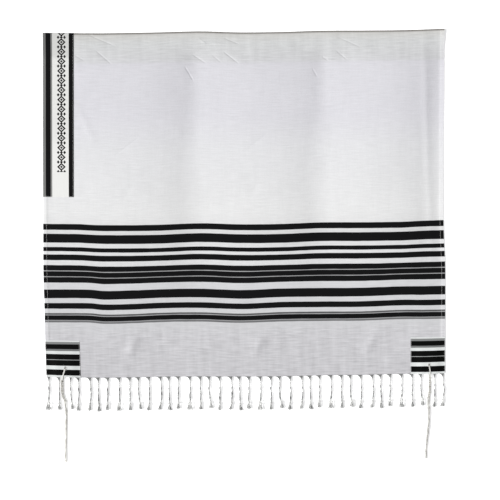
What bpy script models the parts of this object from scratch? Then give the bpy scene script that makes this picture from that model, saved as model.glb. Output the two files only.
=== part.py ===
"""A prayer shawl (tallit) of striped cloth, folded in half across its length and laid flat.

Metres, +Z up. The shawl lies on the plane z = 0 with its fold at +Y, its fringed hems at -Y and its
neckband on the left selvedge. A place on the cut cloth is (u, d): u runs from the left selvedge to the
right one, and d runs from the fold down to a hem, above zero on the upper half and below zero on the
half that lies underneath.
"""

import bisect
import math

import bmesh
import bpy
from mathutils import Matrix, Vector

# The cloth as it is cut
WIDTH = 1.100
HALF_LENGTH = 0.939
WALL = 0.0012
SIDE_HEM = 0.011

# How the two halves lie on each other
SEAM = 0.0003
LAYER_GAP = 0.0005
FOLD_RADIUS = 0.0024
FOLD_SETTLES = 0.060
FOLD_STEPS = 6
PRESS_LINE = 0.085

# The neckband and the corner patches are sewn on the outside of the cloth
TRIM_WALL = 0.0010
NECKBAND_WIDTH = 0.085
NECKBAND_HALF = 0.449
PATCH_WIDE = 0.0945
PATCH_LONG = 0.098

# Where the model's origin lies on the cloth: under the middle of everything's box
ORIGIN_RIGHT = 0.5503
ORIGIN_DOWN = 0.5813

# How far each line across the cloth sinks below a straight line, by its place across the cloth
SAG_AT = {"fold": 0.0, "band": 0.560, "low": 0.745, "hem": HALF_LENGTH}
SAG = [
    {"u": 0.000, "fold": -0.0018, "band": 0.0000, "low": 0.0000, "hem": 0.0018},
    {"u": 0.100, "fold": -0.0010, "band": 0.0011, "low": 0.0000, "hem": 0.0042},
    {"u": 0.130, "fold": -0.0009, "band": 0.0028, "low": 0.0008, "hem": 0.0047},
    {"u": 0.165, "fold": -0.0009, "band": 0.0040, "low": 0.0043, "hem": 0.0049},
    {"u": 0.240, "fold": -0.0020, "band": 0.0040, "low": 0.0025, "hem": 0.0040},
    {"u": 0.320, "fold": -0.0036, "band": 0.0030, "low": -0.0010, "hem": 0.0021},
    {"u": 0.430, "fold": -0.0063, "band": -0.0014, "low": -0.0022, "hem": 0.0016},
    {"u": 0.540, "fold": -0.0034, "band": 0.0016, "low": 0.0015, "hem": 0.0017},
    {"u": 0.650, "fold": -0.0046, "band": 0.0008, "low": -0.0029, "hem": 0.0011},
    {"u": 0.760, "fold": -0.0078, "band": -0.0037, "low": -0.0041, "hem": -0.0017},
    {"u": 0.870, "fold": -0.0085, "band": -0.0040, "low": -0.0048, "hem": -0.0028},
    {"u": 0.980, "fold": -0.0095, "band": -0.0053, "low": -0.0092, "hem": -0.0056},
    {"u": 1.040, "fold": -0.0113, "band": -0.0083, "low": -0.0089, "hem": -0.0062},
    {"u": 1.100, "fold": -0.0137, "band": -0.0100, "low": -0.0100, "hem": -0.0080},
]

# How far each selvedge wanders to the right on its way from the fold to the hem
LEAN = [
    {"d": 0.000, "left": -0.0019, "right": 0.0000},
    {"d": 0.250, "left": -0.0016, "right": -0.0020},
    {"d": 0.470, "left": -0.0013, "right": -0.0030},
    {"d": 0.560, "left": -0.0007, "right": -0.0015},
    {"d": 0.650, "left": -0.0003, "right": 0.0022},
    {"d": 0.750, "left": 0.0025, "right": 0.0024},
    {"d": 0.860, "left": 0.0052, "right": 0.0018},
    {"d": HALF_LENGTH, "left": 0.0080, "right": 0.0020},
]

# The long soft folds of the upper half: each is an arch from one valley to the next, steepest at its end
VALLEYS = [
    {"top": 0.000, "low": 0.000, "crest": 0.0088},
    {"top": 0.414, "low": 0.405, "crest": 0.0078},
    {"top": 0.764, "low": 0.755, "crest": 0.0090},
    {"top": WIDTH - 0.015, "low": WIDTH - 0.032, "crest": 0.0000},
]
ARCH_LEANS = 3.5
VALLEY_DRIFTS_FROM = 0.100
VALLEY_DRIFTS_BY = 0.400
FOLDS_START = 0.002
FOLDS_FULL = 0.095
FOLDS_FADE = 0.470
FOLDS_GONE = 0.860

# The four knotted corner tassels: where each one's hole is, and where its cord leaves the hem
HOLE_RADIUS = 0.0032
HOLE_SIDES = 12
HOLE_DEPTH = 0.003
HOLE_UP = 0.0245
CORNERS = [
    {"name": "front_left", "layer": 1, "hole_u": 0.0530, "slant": -0.0088, "swing": 0.010, "tip": 0.0150},
    {"name": "back_left", "layer": 0, "hole_u": 0.0582, "slant": -0.0088, "swing": 0.0100, "tip": 0.0150},
    {"name": "front_right", "layer": 1, "hole_u": WIDTH - 0.0440, "slant": 0.0036, "swing": -0.004, "tip": -0.0112},
    {"name": "back_right", "layer": 0, "hole_u": WIDTH - 0.0492, "slant": 0.0036, "swing": -0.0040, "tip": -0.0112},
]

# The corners are lifted, because the cords run under each half there
LIFT = [
    {"u": 0.0517, "half_flat": 0.019, "fade": 0.024},
    {"u": WIDTH - 0.0448, "half_flat": 0.017, "fade": 0.022},
]
LIFT_UP = 0.040
LIFT_FADE = 0.050

# The cord of a corner tassel
RIBBON_WIDTH = 0.0034
RIBBON_THICK = 0.0009
LOOP_END = 0.0085
WOUND_LENGTH = 0.058
WOUND_RADIUS = 0.0019
KNOT_RADIUS = 0.0024
WOUND_SIDES = 8
KNOTS = 5
FREE_LENGTH = 0.1686
THREAD = 0.00080
THREAD_PITCH = 0.00106
THREADS_ACROSS = 4
THREAD_ROWS = 2
THREAD_STEPS = 7
THREAD_SPREAD = 0.28
# The free ends of the lower half's tassel come to lie under those of the upper half's
THREADS_SETTLE = 0.14
THREADS_JOIN = 0.30
THREADS_JOIN_BY = {"left": -0.0036, "right": 0.0036}

# The fringe
STRIP_WIDTH = 0.003
FRINGE_LENGTH = 0.0865
TIP_TURNS = 0.40
TASSELS = 40
ROOT_LEFT = 0.0125
ROOT_RIGHT = 0.0045
ROOT_LEAST = 0.0035
ROOTS_APART = 0.0030
FLOOR_GAP = 0.0004
FIRST_TASSEL = 0.0065
LAST_TASSEL = WIDTH - 0.0065
CORDS_HALF = 0.0116
# One run of tassels: the way to the next root, and how far the cord and its tip swing to the right
FRINGE_RUN = [
    {"step": 0.0290, "bend": 0.0005, "tip": 0.0028, "back_tip": -0.0040, "longer": 0.0020},
    {"step": 0.0245, "bend": 0.0000, "tip": 0.0006, "back_tip": 0.0012, "longer": 0.0010},
    {"step": 0.0288, "bend": -0.0006, "tip": 0.0068, "back_tip": 0.0040, "longer": -0.0020},
    {"step": 0.0318, "bend": 0.0010, "tip": -0.0016, "back_tip": -0.0004, "longer": 0.0025},
    {"step": 0.0233, "bend": 0.0028, "tip": -0.0022, "back_tip": -0.0010, "longer": 0.0012},
    {"step": 0.0269, "bend": 0.0002, "tip": 0.0010, "back_tip": 0.0034, "longer": 0.0036},
    {"step": 0.0313, "bend": -0.0012, "tip": -0.0004, "back_tip": -0.0020, "longer": -0.0010},
]
# The sections of one fringe tassel, from its root in the strip to the end of its tuft
TASSEL_SECTIONS = [
    {"share": 0.075, "half_width": 0.0023, "half_thick": 0.0015},
    {"share": 0.45, "half_width": 0.0021, "half_thick": 0.0015},
    {"share": 0.74, "half_width": 0.0021, "half_thick": 0.0015},
    {"share": 0.79, "half_width": 0.0033, "half_thick": 0.0019},
    {"share": 1.00, "half_width": 0.0052, "half_thick": 0.0013},
]

# How finely the cloth is divided
ACROSS_STEP = 0.056
VALLEY_SHOULDER = 0.030
DOWN_STEP = 0.062
BACK_STEP = 0.300

PAINT = {
    "cloth": {"colour": (0.80, 0.80, 0.81), "roughness": 0.85},
    "trim": {"colour": (0.055, 0.055, 0.055), "roughness": 0.55},
    "neckband": {"colour": (0.88, 0.88, 0.86), "roughness": 0.60},
    "fringe": {"colour": (0.86, 0.86, 0.84), "roughness": 0.80},
    "tzitzit": {"colour": (0.84, 0.83, 0.78), "roughness": 0.75},
}

BACK_MIDDLE = WALL / 2
FRONT_MIDDLE = BACK_MIDDLE + WALL + LAYER_GAP
ARC_HALF = FOLD_RADIUS * math.pi / 2
BAND_ROUND_FOLD = ARC_HALF / 3
LOOP_ROOM = RIBBON_THICK + 2 * SEAM
BACK_LIFT = LOOP_ROOM
FRONT_LIFT = 2 * LOOP_ROOM - LAYER_GAP


def clear_scene():
    for old in list(bpy.data.objects):
        bpy.data.objects.remove(old, do_unlink=True)


def smooth(share):
    share = min(max(share, 0.0), 1.0)
    return share * share * (3 - 2 * share)


def curve_through(rows, key, column, at):
    """A smooth curve through one column of a table, read at a value of the key column."""
    keys = [row[key] for row in rows]
    after = min(max(bisect.bisect_right(keys, at), 1), len(rows) - 1)
    before = after - 1
    span = keys[after] - keys[before]
    share = min(max((at - keys[before]) / span, 0.0), 1.0)

    def slope(i):
        low, high = max(i - 1, 0), min(i + 1, len(rows) - 1)
        return (rows[high][column] - rows[low][column]) / (keys[high] - keys[low]) * span

    start, end = rows[before][column], rows[after][column]
    square, cube = share * share, share**3
    return (
        (2 * cube - 3 * square + 1) * start
        + (cube - 2 * square + share) * slope(before)
        + (3 * square - 2 * cube) * end
        + (cube - square) * slope(after)
    )


def sag(u, depth):
    """How far the line across the cloth at this depth has sunk at u."""
    names = list(SAG_AT)
    for above, below in zip(names, names[1:]):
        if depth <= SAG_AT[below] or below == names[-1]:
            start, end = (curve_through(SAG, "u", name, u) for name in (above, below))
            return start + (end - start) * smooth((depth - SAG_AT[above]) / (SAG_AT[below] - SAG_AT[above]))


def lean(u, depth):
    left = curve_through(LEAN, "d", "left", depth)
    right = curve_through(LEAN, "d", "right", depth)
    return left + (right - left) * u / WIDTH


def drifted(top, low, depth):
    """Where a line is that starts at top, and has come to low by the end of the valleys' drift."""
    return top + (low - top) * smooth((depth - VALLEY_DRIFTS_FROM) / (VALLEY_DRIFTS_BY - VALLEY_DRIFTS_FROM))


def soft_folds(u, depth):
    """The height that the long folds add to the upper half."""
    fade = smooth((depth - FOLDS_START) / (FOLDS_FULL - FOLDS_START))
    fade *= 1 - smooth((depth - FOLDS_FADE) / (FOLDS_GONE - FOLDS_FADE))
    for first, last in zip(VALLEYS, VALLEYS[1:]):
        start, end = (drifted(valley["top"], valley["low"], depth) for valley in (first, last))
        if u <= end:
            share = max(u - start, 0.0) / (end - start)
            highest = ARCH_LEANS ** (-1 / (ARCH_LEANS - 1)) * (1 - 1 / ARCH_LEANS)
            return fade * first["crest"] * (share - share**ARCH_LEANS) / highest
    return 0.0


def corner_lift(u, depth):
    """How much of the corners' lift applies here, from 0 to 1."""
    up = 1 - smooth((HALF_LENGTH - depth - LIFT_UP) / LIFT_FADE)
    return max(up * (1 - smooth((abs(u - row["u"]) - row["half_flat"]) / row["fade"])) for row in LIFT)


def cloth_middle(u, d):
    """The point of the cloth's middle surface at (u, d), and the direction out of the folded shawl."""
    depth = abs(d)
    x = u + lean(u, depth) - ORIGIN_RIGHT
    y_fold = ORIGIN_DOWN - FOLD_RADIUS - sag(u, depth)
    if depth < ARC_HALF:
        angle = d / FOLD_RADIUS
        out = Vector((0, math.cos(angle), math.sin(angle)))
        return Vector((x, y_fold, BACK_MIDDLE + FOLD_RADIUS)) + FOLD_RADIUS * out, out
    y = y_fold - (depth - ARC_HALF)
    if d < 0:
        return Vector((x, y, BACK_MIDDLE + BACK_LIFT * corner_lift(u, depth))), Vector((0, 0, -1))
    rise = (BACK_MIDDLE + 2 * FOLD_RADIUS - FRONT_MIDDLE) * (1 - smooth((depth - ARC_HALF) / FOLD_SETTLES))
    z = FRONT_MIDDLE + rise + soft_folds(u, depth) + FRONT_LIFT * corner_lift(u, depth)
    return Vector((x, y, z)), Vector((0, 0, 1))


def divide(breaks, step):
    """The breaks, with even steps no longer than step between them."""
    places = [breaks[0]]
    for start, end in zip(breaks, breaks[1:]):
        span = max(abs(a - b) for a, b in zip(start, end))
        count = max(1, math.ceil(span / step - 1e-6))
        for i in range(1, count + 1):
            places.append(tuple(a + (b - a) * i / count for a, b in zip(start, end)))
    return places


def columns_of_cloth():
    """Lines down the cloth as (place at the fold, place at the end of the drift)."""
    corner_left = [0.030, 0.040, 0.052, 0.064, NECKBAND_WIDTH, PATCH_WIDE]
    corner_right = [PATCH_WIDE, 0.078, 0.060, 0.045, 0.030]
    breaks = [(0.0, 0.0), (SIDE_HEM, SIDE_HEM)] + [(u, u) for u in corner_left]
    for valley in VALLEYS[1:3]:
        for back in (VALLEY_SHOULDER, 0.0):
            breaks.append((valley["top"] - back, valley["low"] - back))
    breaks += [(WIDTH - u, WIDTH - u) for u in corner_right]
    breaks += [(WIDTH - SIDE_HEM, WIDTH - SIDE_HEM), (WIDTH, WIDTH)]
    return divide(breaks, ACROSS_STEP)


def place_in_column(column, d):
    top, low = column
    return drifted(top, low, d)


def rows_of_cloth():
    """Distances down the cloth, from the upper hem over the fold to the lower hem."""
    front = [ARC_HALF, 0.018, 0.034, FOLD_SETTLES, PRESS_LINE, 0.130, NECKBAND_HALF, 0.525]
    front += [HALF_LENGTH - PATCH_LONG, HALF_LENGTH - 0.060, HALF_LENGTH - 0.034, HALF_LENGTH - 0.012, HALF_LENGTH]
    back = [ARC_HALF, HALF_LENGTH - PATCH_LONG, HALF_LENGTH - 0.060, HALF_LENGTH - 0.034, HALF_LENGTH]
    upper = [row[0] for row in divide([(d,) for d in front], DOWN_STEP)]
    lower = [row[0] for row in divide([(d,) for d in back], BACK_STEP)]
    arc = [ARC_HALF - 2 * ARC_HALF * i / FOLD_STEPS for i in range(1, FOLD_STEPS)]
    return upper[::-1] + arc + [-d for d in lower]


def material(name):
    paint = PAINT[name]
    made = bpy.data.materials.new(name)
    made.use_nodes = True
    shader = made.node_tree.nodes["Principled BSDF"]
    shader.inputs["Base Color"].default_value = (*paint["colour"], 1.0)
    shader.inputs["Roughness"].default_value = paint["roughness"]
    shader.inputs["Metallic"].default_value = 0.0
    return made


def add_object(name, mesh, paint, collection):
    made = bpy.data.objects.new(name, mesh)
    made.data.materials.append(paint)
    collection.objects.link(made)
    return made


def thicken(made, thickness):
    wall = made.modifiers.new("wall", "SOLIDIFY")
    wall.thickness = thickness
    wall.offset = 0.0
    wall.use_even_offset = True
    wall.use_quality_normals = True


def sheet(name, rows, columns, out, thickness, paint, collection):
    """A sheet of cloth over a grid of rows and columns, standing out from the cloth's middle."""
    bm = bmesh.new()
    bmesh.ops.create_grid(bm, x_segments=len(columns) - 1, y_segments=len(rows) - 1, size=0.5)
    for vert in bm.verts:
        column = columns[round((vert.co.x + 0.5) * (len(columns) - 1))]
        d = rows[round((0.5 - vert.co.y) * (len(rows) - 1))]
        middle, away = cloth_middle(place_in_column(column, d), d)
        vert.co = middle + out * away
    bmesh.ops.recalc_face_normals(bm, faces=bm.faces)
    mesh = bpy.data.meshes.new(name)
    bm.to_mesh(mesh)
    bm.free()
    made = add_object(name, mesh, paint, collection)
    thicken(made, thickness)
    return made


def punch(made, centre, cutters):
    """Cuts a round tassel hole through one layer of cloth."""
    bm = bmesh.new()
    bmesh.ops.create_cone(
        bm, cap_ends=True, segments=HOLE_SIDES, radius1=HOLE_RADIUS, radius2=HOLE_RADIUS, depth=HOLE_DEPTH
    )
    mesh = bpy.data.meshes.new("hole")
    bm.to_mesh(mesh)
    bm.free()
    hole = bpy.data.objects.new("hole", mesh)
    hole.location = centre
    hide(hole, cutters)
    cut = made.modifiers.new("hole", "BOOLEAN")
    cut.operation = "DIFFERENCE"
    cut.object = hole


def hide(helper, collection):
    helper.hide_render = True
    helper.display_type = "WIRE"
    collection.objects.link(helper)


def skin(bm, start, rings):
    """Grows a tube from a ring of points through rings of the same count, and closes its end."""
    before = start
    for ring in rings:
        after = [bm.verts.new(point) for point in ring]
        for i in range(len(after)):
            j = (i + 1) % len(after)
            bm.faces.new((before[i], before[j], after[j], after[i]))
        before = after
    bm.faces.new(before)
    return before


def flat_ring(centre, half_width, half_thick):
    """Four corners of a strand's section, looking along -Y: low left, low right, high right, high left."""
    corners = ((-1, -1), (1, -1), (1, 1), (-1, 1))
    return [centre + Vector((half_width * a, 0, half_thick * b)) for a, b in corners]


def tassel_roots():
    """Where each fringe tassel fans out from the hem, with its row of the run.

    The fans keep clear of each other and of the cords that cross the hem at the corners.
    """
    steps = [FRINGE_RUN[i % len(FRINGE_RUN)]["step"] for i in range(TASSELS - 1)]
    scale = (LAST_TASSEL - FIRST_TASSEL) / sum(steps)
    places = [FIRST_TASSEL + scale * sum(steps[:i]) for i in range(TASSELS)]
    for i, u in enumerate(places):
        for cords in LIFT:
            away = u - cords["u"]
            if abs(away) < CORDS_HALF + ROOT_LEAST:
                places[i] = cords["u"] + math.copysign(CORDS_HALF + ROOT_LEAST, away)
    roots = []
    for i, u in enumerate(places):
        left = max(u - ROOT_LEFT, roots[-1]["right"] + ROOTS_APART if roots else SEAM)
        right = min(u + ROOT_RIGHT, WIDTH - SEAM)
        for cords in LIFT:
            low, high = cords["u"] - CORDS_HALF, cords["u"] + CORDS_HALF
            if u > cords["u"]:
                left = max(left, high)
            else:
                right = min(right, low)
        roots.append({"u": u, "left": left, "right": right, **FRINGE_RUN[i % len(FRINGE_RUN)]})
    return roots


def fringe(name, layer, paint, collection):
    """The narrow strip along a hem with its row of tassels. Layer 0 is the lower half, 1 the upper."""
    side = 1 if layer else -1
    hem = side * HALF_LENGTH
    roots = tassel_roots()
    bm = bmesh.new()

    def strip_ring(u):
        middle, _ = cloth_middle(u, hem)
        low, high = middle.z - WALL / 2, middle.z + WALL / 2
        inner, outer = middle.y - SEAM, middle.y - SEAM - STRIP_WIDTH
        spots = ((inner, low), (outer, low), (outer, high), (inner, high))
        return [bm.verts.new((middle.x, y, z)) for y, z in spots]

    edges = [0.0] + [u for root in roots for u in (root["left"], root["right"])] + [WIDTH]
    rings = [strip_ring(u) for u in edges]
    bm.faces.new(rings[0])
    for i, (left, right) in enumerate(zip(rings, rings[1:])):
        for a, b in ((0, 1), (2, 3), (3, 0)):
            bm.faces.new((left[a], left[b], right[b], right[a]))
        if i % 2 == 0:
            bm.faces.new((left[1], left[2], right[2], right[1]))
            continue
        root = roots[i // 2]
        start = [left[1], right[1], right[2], left[2]]
        neck = cloth_middle(root["u"], hem)[0] - Vector((0, SEAM + STRIP_WIDTH, 0))
        skin(bm, start, tassel_rings(root, layer, neck))
    bm.faces.new(rings[-1])
    bmesh.ops.recalc_face_normals(bm, faces=bm.faces)
    mesh = bpy.data.meshes.new(name)
    bm.to_mesh(mesh)
    bm.free()
    return add_object(name, mesh, paint, collection)


def tassel_rings(root, layer, start):
    """The sections of one tassel. Those of the upper fringe lie on those of the lower one."""
    tip = root["tip"] if layer else root["back_tip"]
    rings = []
    for row in TASSEL_SECTIONS:
        share = row["share"]
        swing = root["bend"] * math.sin(math.pi * share) + tip * smooth((share - TIP_TURNS) / (1 - TIP_TURNS))
        z = FLOOR_GAP + row["half_thick"]
        if layer:
            z += 2 * row["half_thick"] + FLOOR_GAP
        centre = Vector((start.x + swing, start.y - share * (FRINGE_LENGTH + root["longer"]), z))
        rings.append(flat_ring(centre, row["half_width"], row["half_thick"]))
    return rings


def loft(name, rings, closed):
    """A tube through rings of points, with flat ends or joined end to end."""
    bm = bmesh.new()
    made = [[bm.verts.new(point) for point in ring] for ring in rings]
    pairs = list(zip(made, made[1:]))
    if closed:
        pairs.append((made[-1], made[0]))
    for before, after in pairs:
        for i in range(len(after)):
            j = (i + 1) % len(after)
            bm.faces.new((before[i], before[j], after[j], after[i]))
    if not closed:
        bm.faces.new(made[0])
        bm.faces.new(made[-1])
    bmesh.ops.recalc_face_normals(bm, faces=bm.faces)
    mesh = bpy.data.meshes.new(name)
    bm.to_mesh(mesh)
    bm.free()
    return mesh


def loop_heights(corner):
    """The middle heights of the cord's run over the cloth and of its run under it, at the hole."""
    d = HALF_LENGTH - HOLE_UP
    side = 1 if corner["layer"] else -1
    middle, _ = cloth_middle(corner["hole_u"], side * d)
    over = middle.z + WALL / 2 + SEAM + RIBBON_THICK / 2
    if corner["layer"]:
        over += TRIM_WALL + SEAM
    under = middle.z - WALL / 2 - SEAM - RIBBON_THICK / 2
    return middle, over, under


def cord_loop(corner):
    """The flat run of strings through the hole and round the hem, as a closed ribbon."""
    hole, over, under = loop_heights(corner)
    knot_z = max((over + under) / 2, FLOOR_GAP + KNOT_RADIUS)
    hem = hole.y - HOLE_UP
    reach = HOLE_UP + LOOP_END
    bend = 0.0010
    path = [
        (hem - LOOP_END, knot_z, Vector((0, -1, 0))),
        (hem - LOOP_END + 0.0016, over, Vector((0, -0.6, 0.8))),
        (hem - STRIP_WIDTH, over, Vector((0, 0, 1))),
        (hole.y - 2.6 * bend, over, Vector((0, 0, 1))),
        (hole.y - 1.2 * bend, over - 0.3 * bend, Vector((0, 0.7, 0.7))),
        (hole.y - bend, knot_z, Vector((0, 1, 0))),
        (hole.y - 1.2 * bend, under + 0.3 * bend, Vector((0, 0.7, -0.7))),
        (hole.y - 2.6 * bend, under, Vector((0, 0, -1))),
        (hem - STRIP_WIDTH, under, Vector((0, 0, -1))),
        (hem - LOOP_END + 0.0016, under, Vector((0, -0.6, -0.8))),
    ]
    rings = []
    for y, z, out in path:
        x = hole.x + corner["slant"] * (hole.y - y) / reach
        centre = Vector((x, y, z))
        wide = Vector((RIBBON_WIDTH / 2, 0, 0))
        thick = out * (RIBBON_THICK / 2)
        rings.append([centre - wide - thick, centre + wide - thick, centre + wide + thick, centre - wide + thick])
    return loft("loop", rings, True), Vector((hole.x + corner["slant"], hem - LOOP_END, knot_z))


def wound_place(corner, start, share):
    """The middle of the wound cord, which comes down to lie just above the floor."""
    rest = FLOOR_GAP + KNOT_RADIUS
    z = start.z + (rest - start.z) * smooth(share / 0.5)
    return Vector((start.x + corner["swing"] * share, start.y - WOUND_LENGTH * share, z))


def wound_cord(corner, start):
    """The knotted and wound part below the hem."""
    rings = []
    knot_half = 0.045
    for k in range(KNOTS):
        at = knot_half + (1 - 2 * knot_half) * k / (KNOTS - 1)
        for share, radius in (
            (at - knot_half, WOUND_RADIUS),
            (at - 0.35 * knot_half, KNOT_RADIUS),
            (at + 0.35 * knot_half, KNOT_RADIUS),
            (at + knot_half, WOUND_RADIUS),
        ):
            centre = wound_place(corner, start, share)
            turns = [math.tau * (i + 0.5) / WOUND_SIDES for i in range(WOUND_SIDES)]
            rings.append([centre + radius * Vector((math.cos(a), 0, math.sin(a))) for a in turns])
    return loft("wound", rings, False)


def free_threads(corner, start):
    """The free ends below the last knot, as separate four-sided strands."""
    root = wound_place(corner, start, 1 - 0.05)
    layer = corner["layer"]
    join = 0.0 if layer else THREADS_JOIN_BY[corner["name"].split("_")[1]]
    meshes = []
    for row in range(THREAD_ROWS):
        for column in range(THREADS_ACROSS):
            aside = (column - (THREADS_ACROSS - 1) / 2) * THREAD_PITCH
            above = (row - (THREAD_ROWS - 1) / 2) * THREAD_PITCH
            settled = FLOOR_GAP + THREAD / 2 + (row + layer * THREAD_ROWS) * THREAD_PITCH
            length = FREE_LENGTH + 0.004 * math.sin(2.3 * column + 1.7 * row)
            rings = []
            for i in range(THREAD_STEPS + 1):
                share = i / THREAD_STEPS
                spread = 1 + THREAD_SPREAD * smooth(share)
                sway = 0.0022 * math.sin(math.pi * share * 1.6)
                drift = (corner["tip"] - corner["swing"]) * share
                drift += join * smooth((share - THREADS_SETTLE) / THREADS_JOIN)
                z = root.z + above + (settled - root.z - above) * smooth(share / THREADS_SETTLE)
                centre = Vector((root.x + aside * spread + drift + sway, root.y - length * share, z))
                rings.append(flat_ring(centre, THREAD / 2, THREAD / 2))
            meshes.append(loft("thread", rings, False))
    return meshes


def join_meshes(name, meshes):
    bm = bmesh.new()
    for mesh in meshes:
        bm.from_mesh(mesh)
        bpy.data.meshes.remove(mesh)
    joined = bpy.data.meshes.new(name)
    bm.to_mesh(joined)
    bm.free()
    return joined


def corner_tassel(corner, paint, collection, cutters):
    """A knotted corner tassel: the loop through the hole, the wound cord and the free threads."""
    loop, start = cord_loop(corner)
    made = add_object("tzitzit_" + corner["name"], wound_cord(corner, start), paint, collection)
    for name, mesh in (("loop", loop), ("threads", join_meshes("threads", free_threads(corner, start)))):
        piece = bpy.data.objects.new(name + "_" + corner["name"], mesh)
        hide(piece, cutters)
        union = made.modifiers.new(name, "BOOLEAN")
        union.operation = "UNION"
        union.object = piece
    return made


def hole_centres(layer):
    side = 1 if layer else -1
    for corner in CORNERS:
        if corner["layer"] == layer:
            yield cloth_middle(corner["hole_u"], side * (HALF_LENGTH - HOLE_UP))[0]


def build():
    clear_scene()
    shawl = bpy.data.collections.new("prayer_shawl")
    cutters = bpy.data.collections.new("cutters")
    for collection in (shawl, cutters):
        bpy.context.scene.collection.children.link(collection)
    paint = {name: material(name) for name in PAINT}

    columns = columns_of_cloth()
    rows = rows_of_cloth()
    cloth = sheet("cloth", rows, columns, 0.0, WALL, paint["cloth"], shawl)
    for layer in (0, 1):
        for centre in hole_centres(layer):
            punch(cloth, centre, cutters)

    trim_out = WALL / 2 + SEAM + TRIM_WALL / 2
    band_columns = [c for c in columns if c[0] <= NECKBAND_WIDTH + 1e-6]
    band_rows = [d for d in rows if -BAND_ROUND_FOLD - 1e-6 <= d <= NECKBAND_HALF + 1e-6]
    sheet("neckband", band_rows, band_columns, trim_out, TRIM_WALL, paint["neckband"], shawl)

    patch_rows = [d for d in rows if d >= HALF_LENGTH - PATCH_LONG - 1e-6]
    sides = {
        "left": [c for c in columns if c[0] <= PATCH_WIDE + 1e-6],
        "right": [c for c in columns if c[0] >= WIDTH - PATCH_WIDE - 1e-6],
    }
    centres = dict(zip(("left", "right"), hole_centres(1)))
    for side, patch_columns in sides.items():
        patch = sheet("corner_patch_" + side, patch_rows, patch_columns, trim_out, TRIM_WALL, paint["trim"], shawl)
        punch(patch, centres[side] + Vector((0, 0, trim_out)), cutters)

    fringe("fringe_front", 1, paint["fringe"], shawl)
    fringe("fringe_back", 0, paint["fringe"], shawl)
    for corner in CORNERS:
        corner_tassel(corner, paint["tzitzit"], shawl, cutters)


build()
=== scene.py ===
import math

import bpy
import numpy as np
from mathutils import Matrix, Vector


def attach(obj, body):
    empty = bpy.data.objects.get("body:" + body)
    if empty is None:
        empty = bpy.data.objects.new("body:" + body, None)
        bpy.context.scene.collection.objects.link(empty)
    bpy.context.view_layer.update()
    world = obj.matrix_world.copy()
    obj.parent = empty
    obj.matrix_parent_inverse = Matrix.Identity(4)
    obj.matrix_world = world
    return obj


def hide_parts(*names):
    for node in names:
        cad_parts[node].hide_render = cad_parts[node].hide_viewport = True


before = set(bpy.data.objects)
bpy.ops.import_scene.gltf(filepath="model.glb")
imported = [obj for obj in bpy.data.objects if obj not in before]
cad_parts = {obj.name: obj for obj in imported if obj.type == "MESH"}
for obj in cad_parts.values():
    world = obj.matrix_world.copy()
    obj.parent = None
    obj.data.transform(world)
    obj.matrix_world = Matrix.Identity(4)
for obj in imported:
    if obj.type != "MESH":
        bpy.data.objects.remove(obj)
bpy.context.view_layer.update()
print("frame loaded:", len(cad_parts), "nodes")


def table(columns, *rows):
    # the rows, with the names of their columns
    names = columns.split()
    return [dict(zip(names, row)) for row in rows]


# The folded sheet, in metres. A place on it is (u, d): u runs from the left selvedge to the right one,
# d from the fold down to a hem, and d is below zero on the half that lies underneath.
cloth = {
    "width": 1.100,
    "half": 0.939,
    "sideHem": 0.0108,
    "hemSlack": 0.0003,
    "edge": 0.0007,           # a narrow strip along each edge and hem, for its roundness
    "originRight": 0.5503,
    "originDown": 0.5813,
    "room": 0.0012,           # the wall that the frame gives the cloth
    "layerGap": 0.0005,
    "foldRadius": 0.0024,
    "foldSettles": 0.060,
    "thick": 0.0009,          # at the turned side hems
    "plainShare": 0.72,       # how thick the rest is, as a share of that
    "acrossStep": 0.0062,
    "downStep": 0.0058,
    "creasedStep": 0.0036,    # near the fold, where the creases are
    "creasedBy": 0.100,
    "underStep": 0.026,
    "arcSteps": 10,
    "snap": 1e-6,             # lines that are closer than this are one
    "sharpOver": 38,          # degrees
}

# How far each line across the cloth sinks below a straight one
sagDepths = {"fold": 0.0, "band": 0.560, "low": 0.745, "hem": cloth["half"]}
sagTable = table(
    "u fold band low hem",
    (0.000, -0.0018, 0.0000, 0.0000, 0.0037),
    (0.100, -0.0010, 0.0011, 0.0000, 0.0061),
    (0.130, -0.0009, 0.0028, 0.0008, 0.0066),
    (0.165, -0.0009, 0.0040, 0.0043, 0.0068),
    (0.240, -0.0020, 0.0040, 0.0025, 0.0059),
    (0.320, -0.0036, 0.0030, -0.0010, 0.0040),
    (0.430, -0.0063, -0.0014, -0.0022, 0.0035),
    (0.540, -0.0034, 0.0016, 0.0015, 0.0036),
    (0.650, -0.0046, 0.0008, -0.0029, 0.0030),
    (0.760, -0.0078, -0.0037, -0.0041, 0.0002),
    (0.870, -0.0085, -0.0040, -0.0048, -0.0009),
    (0.980, -0.0095, -0.0053, -0.0092, -0.0037),
    (1.040, -0.0113, -0.0083, -0.0089, -0.0043),
    (1.100, -0.0137, -0.0100, -0.0100, -0.0061),
)

# How far each selvedge wanders to the right on its way down
leanTable = table(
    "d left right",
    (0.000, -0.0019, 0.0000),
    (0.250, -0.0016, -0.0020),
    (0.470, -0.0013, -0.0030),
    (0.560, -0.0007, -0.0015),
    (0.650, -0.0003, 0.0022),
    (0.750, 0.0025, 0.0024),
    (0.860, 0.0052, 0.0018),
    (cloth["half"], 0.0080, 0.0020),
)

# The long soft folds of the upper half: each is an arch from one valley to the next, steepest at its end
valleys = table(
    "top low crest",
    (0.000, 0.000, 0.0088),
    (0.414, 0.405, 0.0078),
    (0.764, 0.755, 0.0090),
    (1.085, 1.068, 0.0000),
)
longFold = {
    "leans": 3.5,
    "driftsFrom": 0.100,
    "driftsBy": 0.400,
    "softTop": 0.0034,        # a ninth of the rounding of a valley, near the fold and further down
    "softLow": 0.0074,
}
foldsFade = {"start": 0.002, "full": 0.095, "fade": 0.470, "gone": 0.860}

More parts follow.
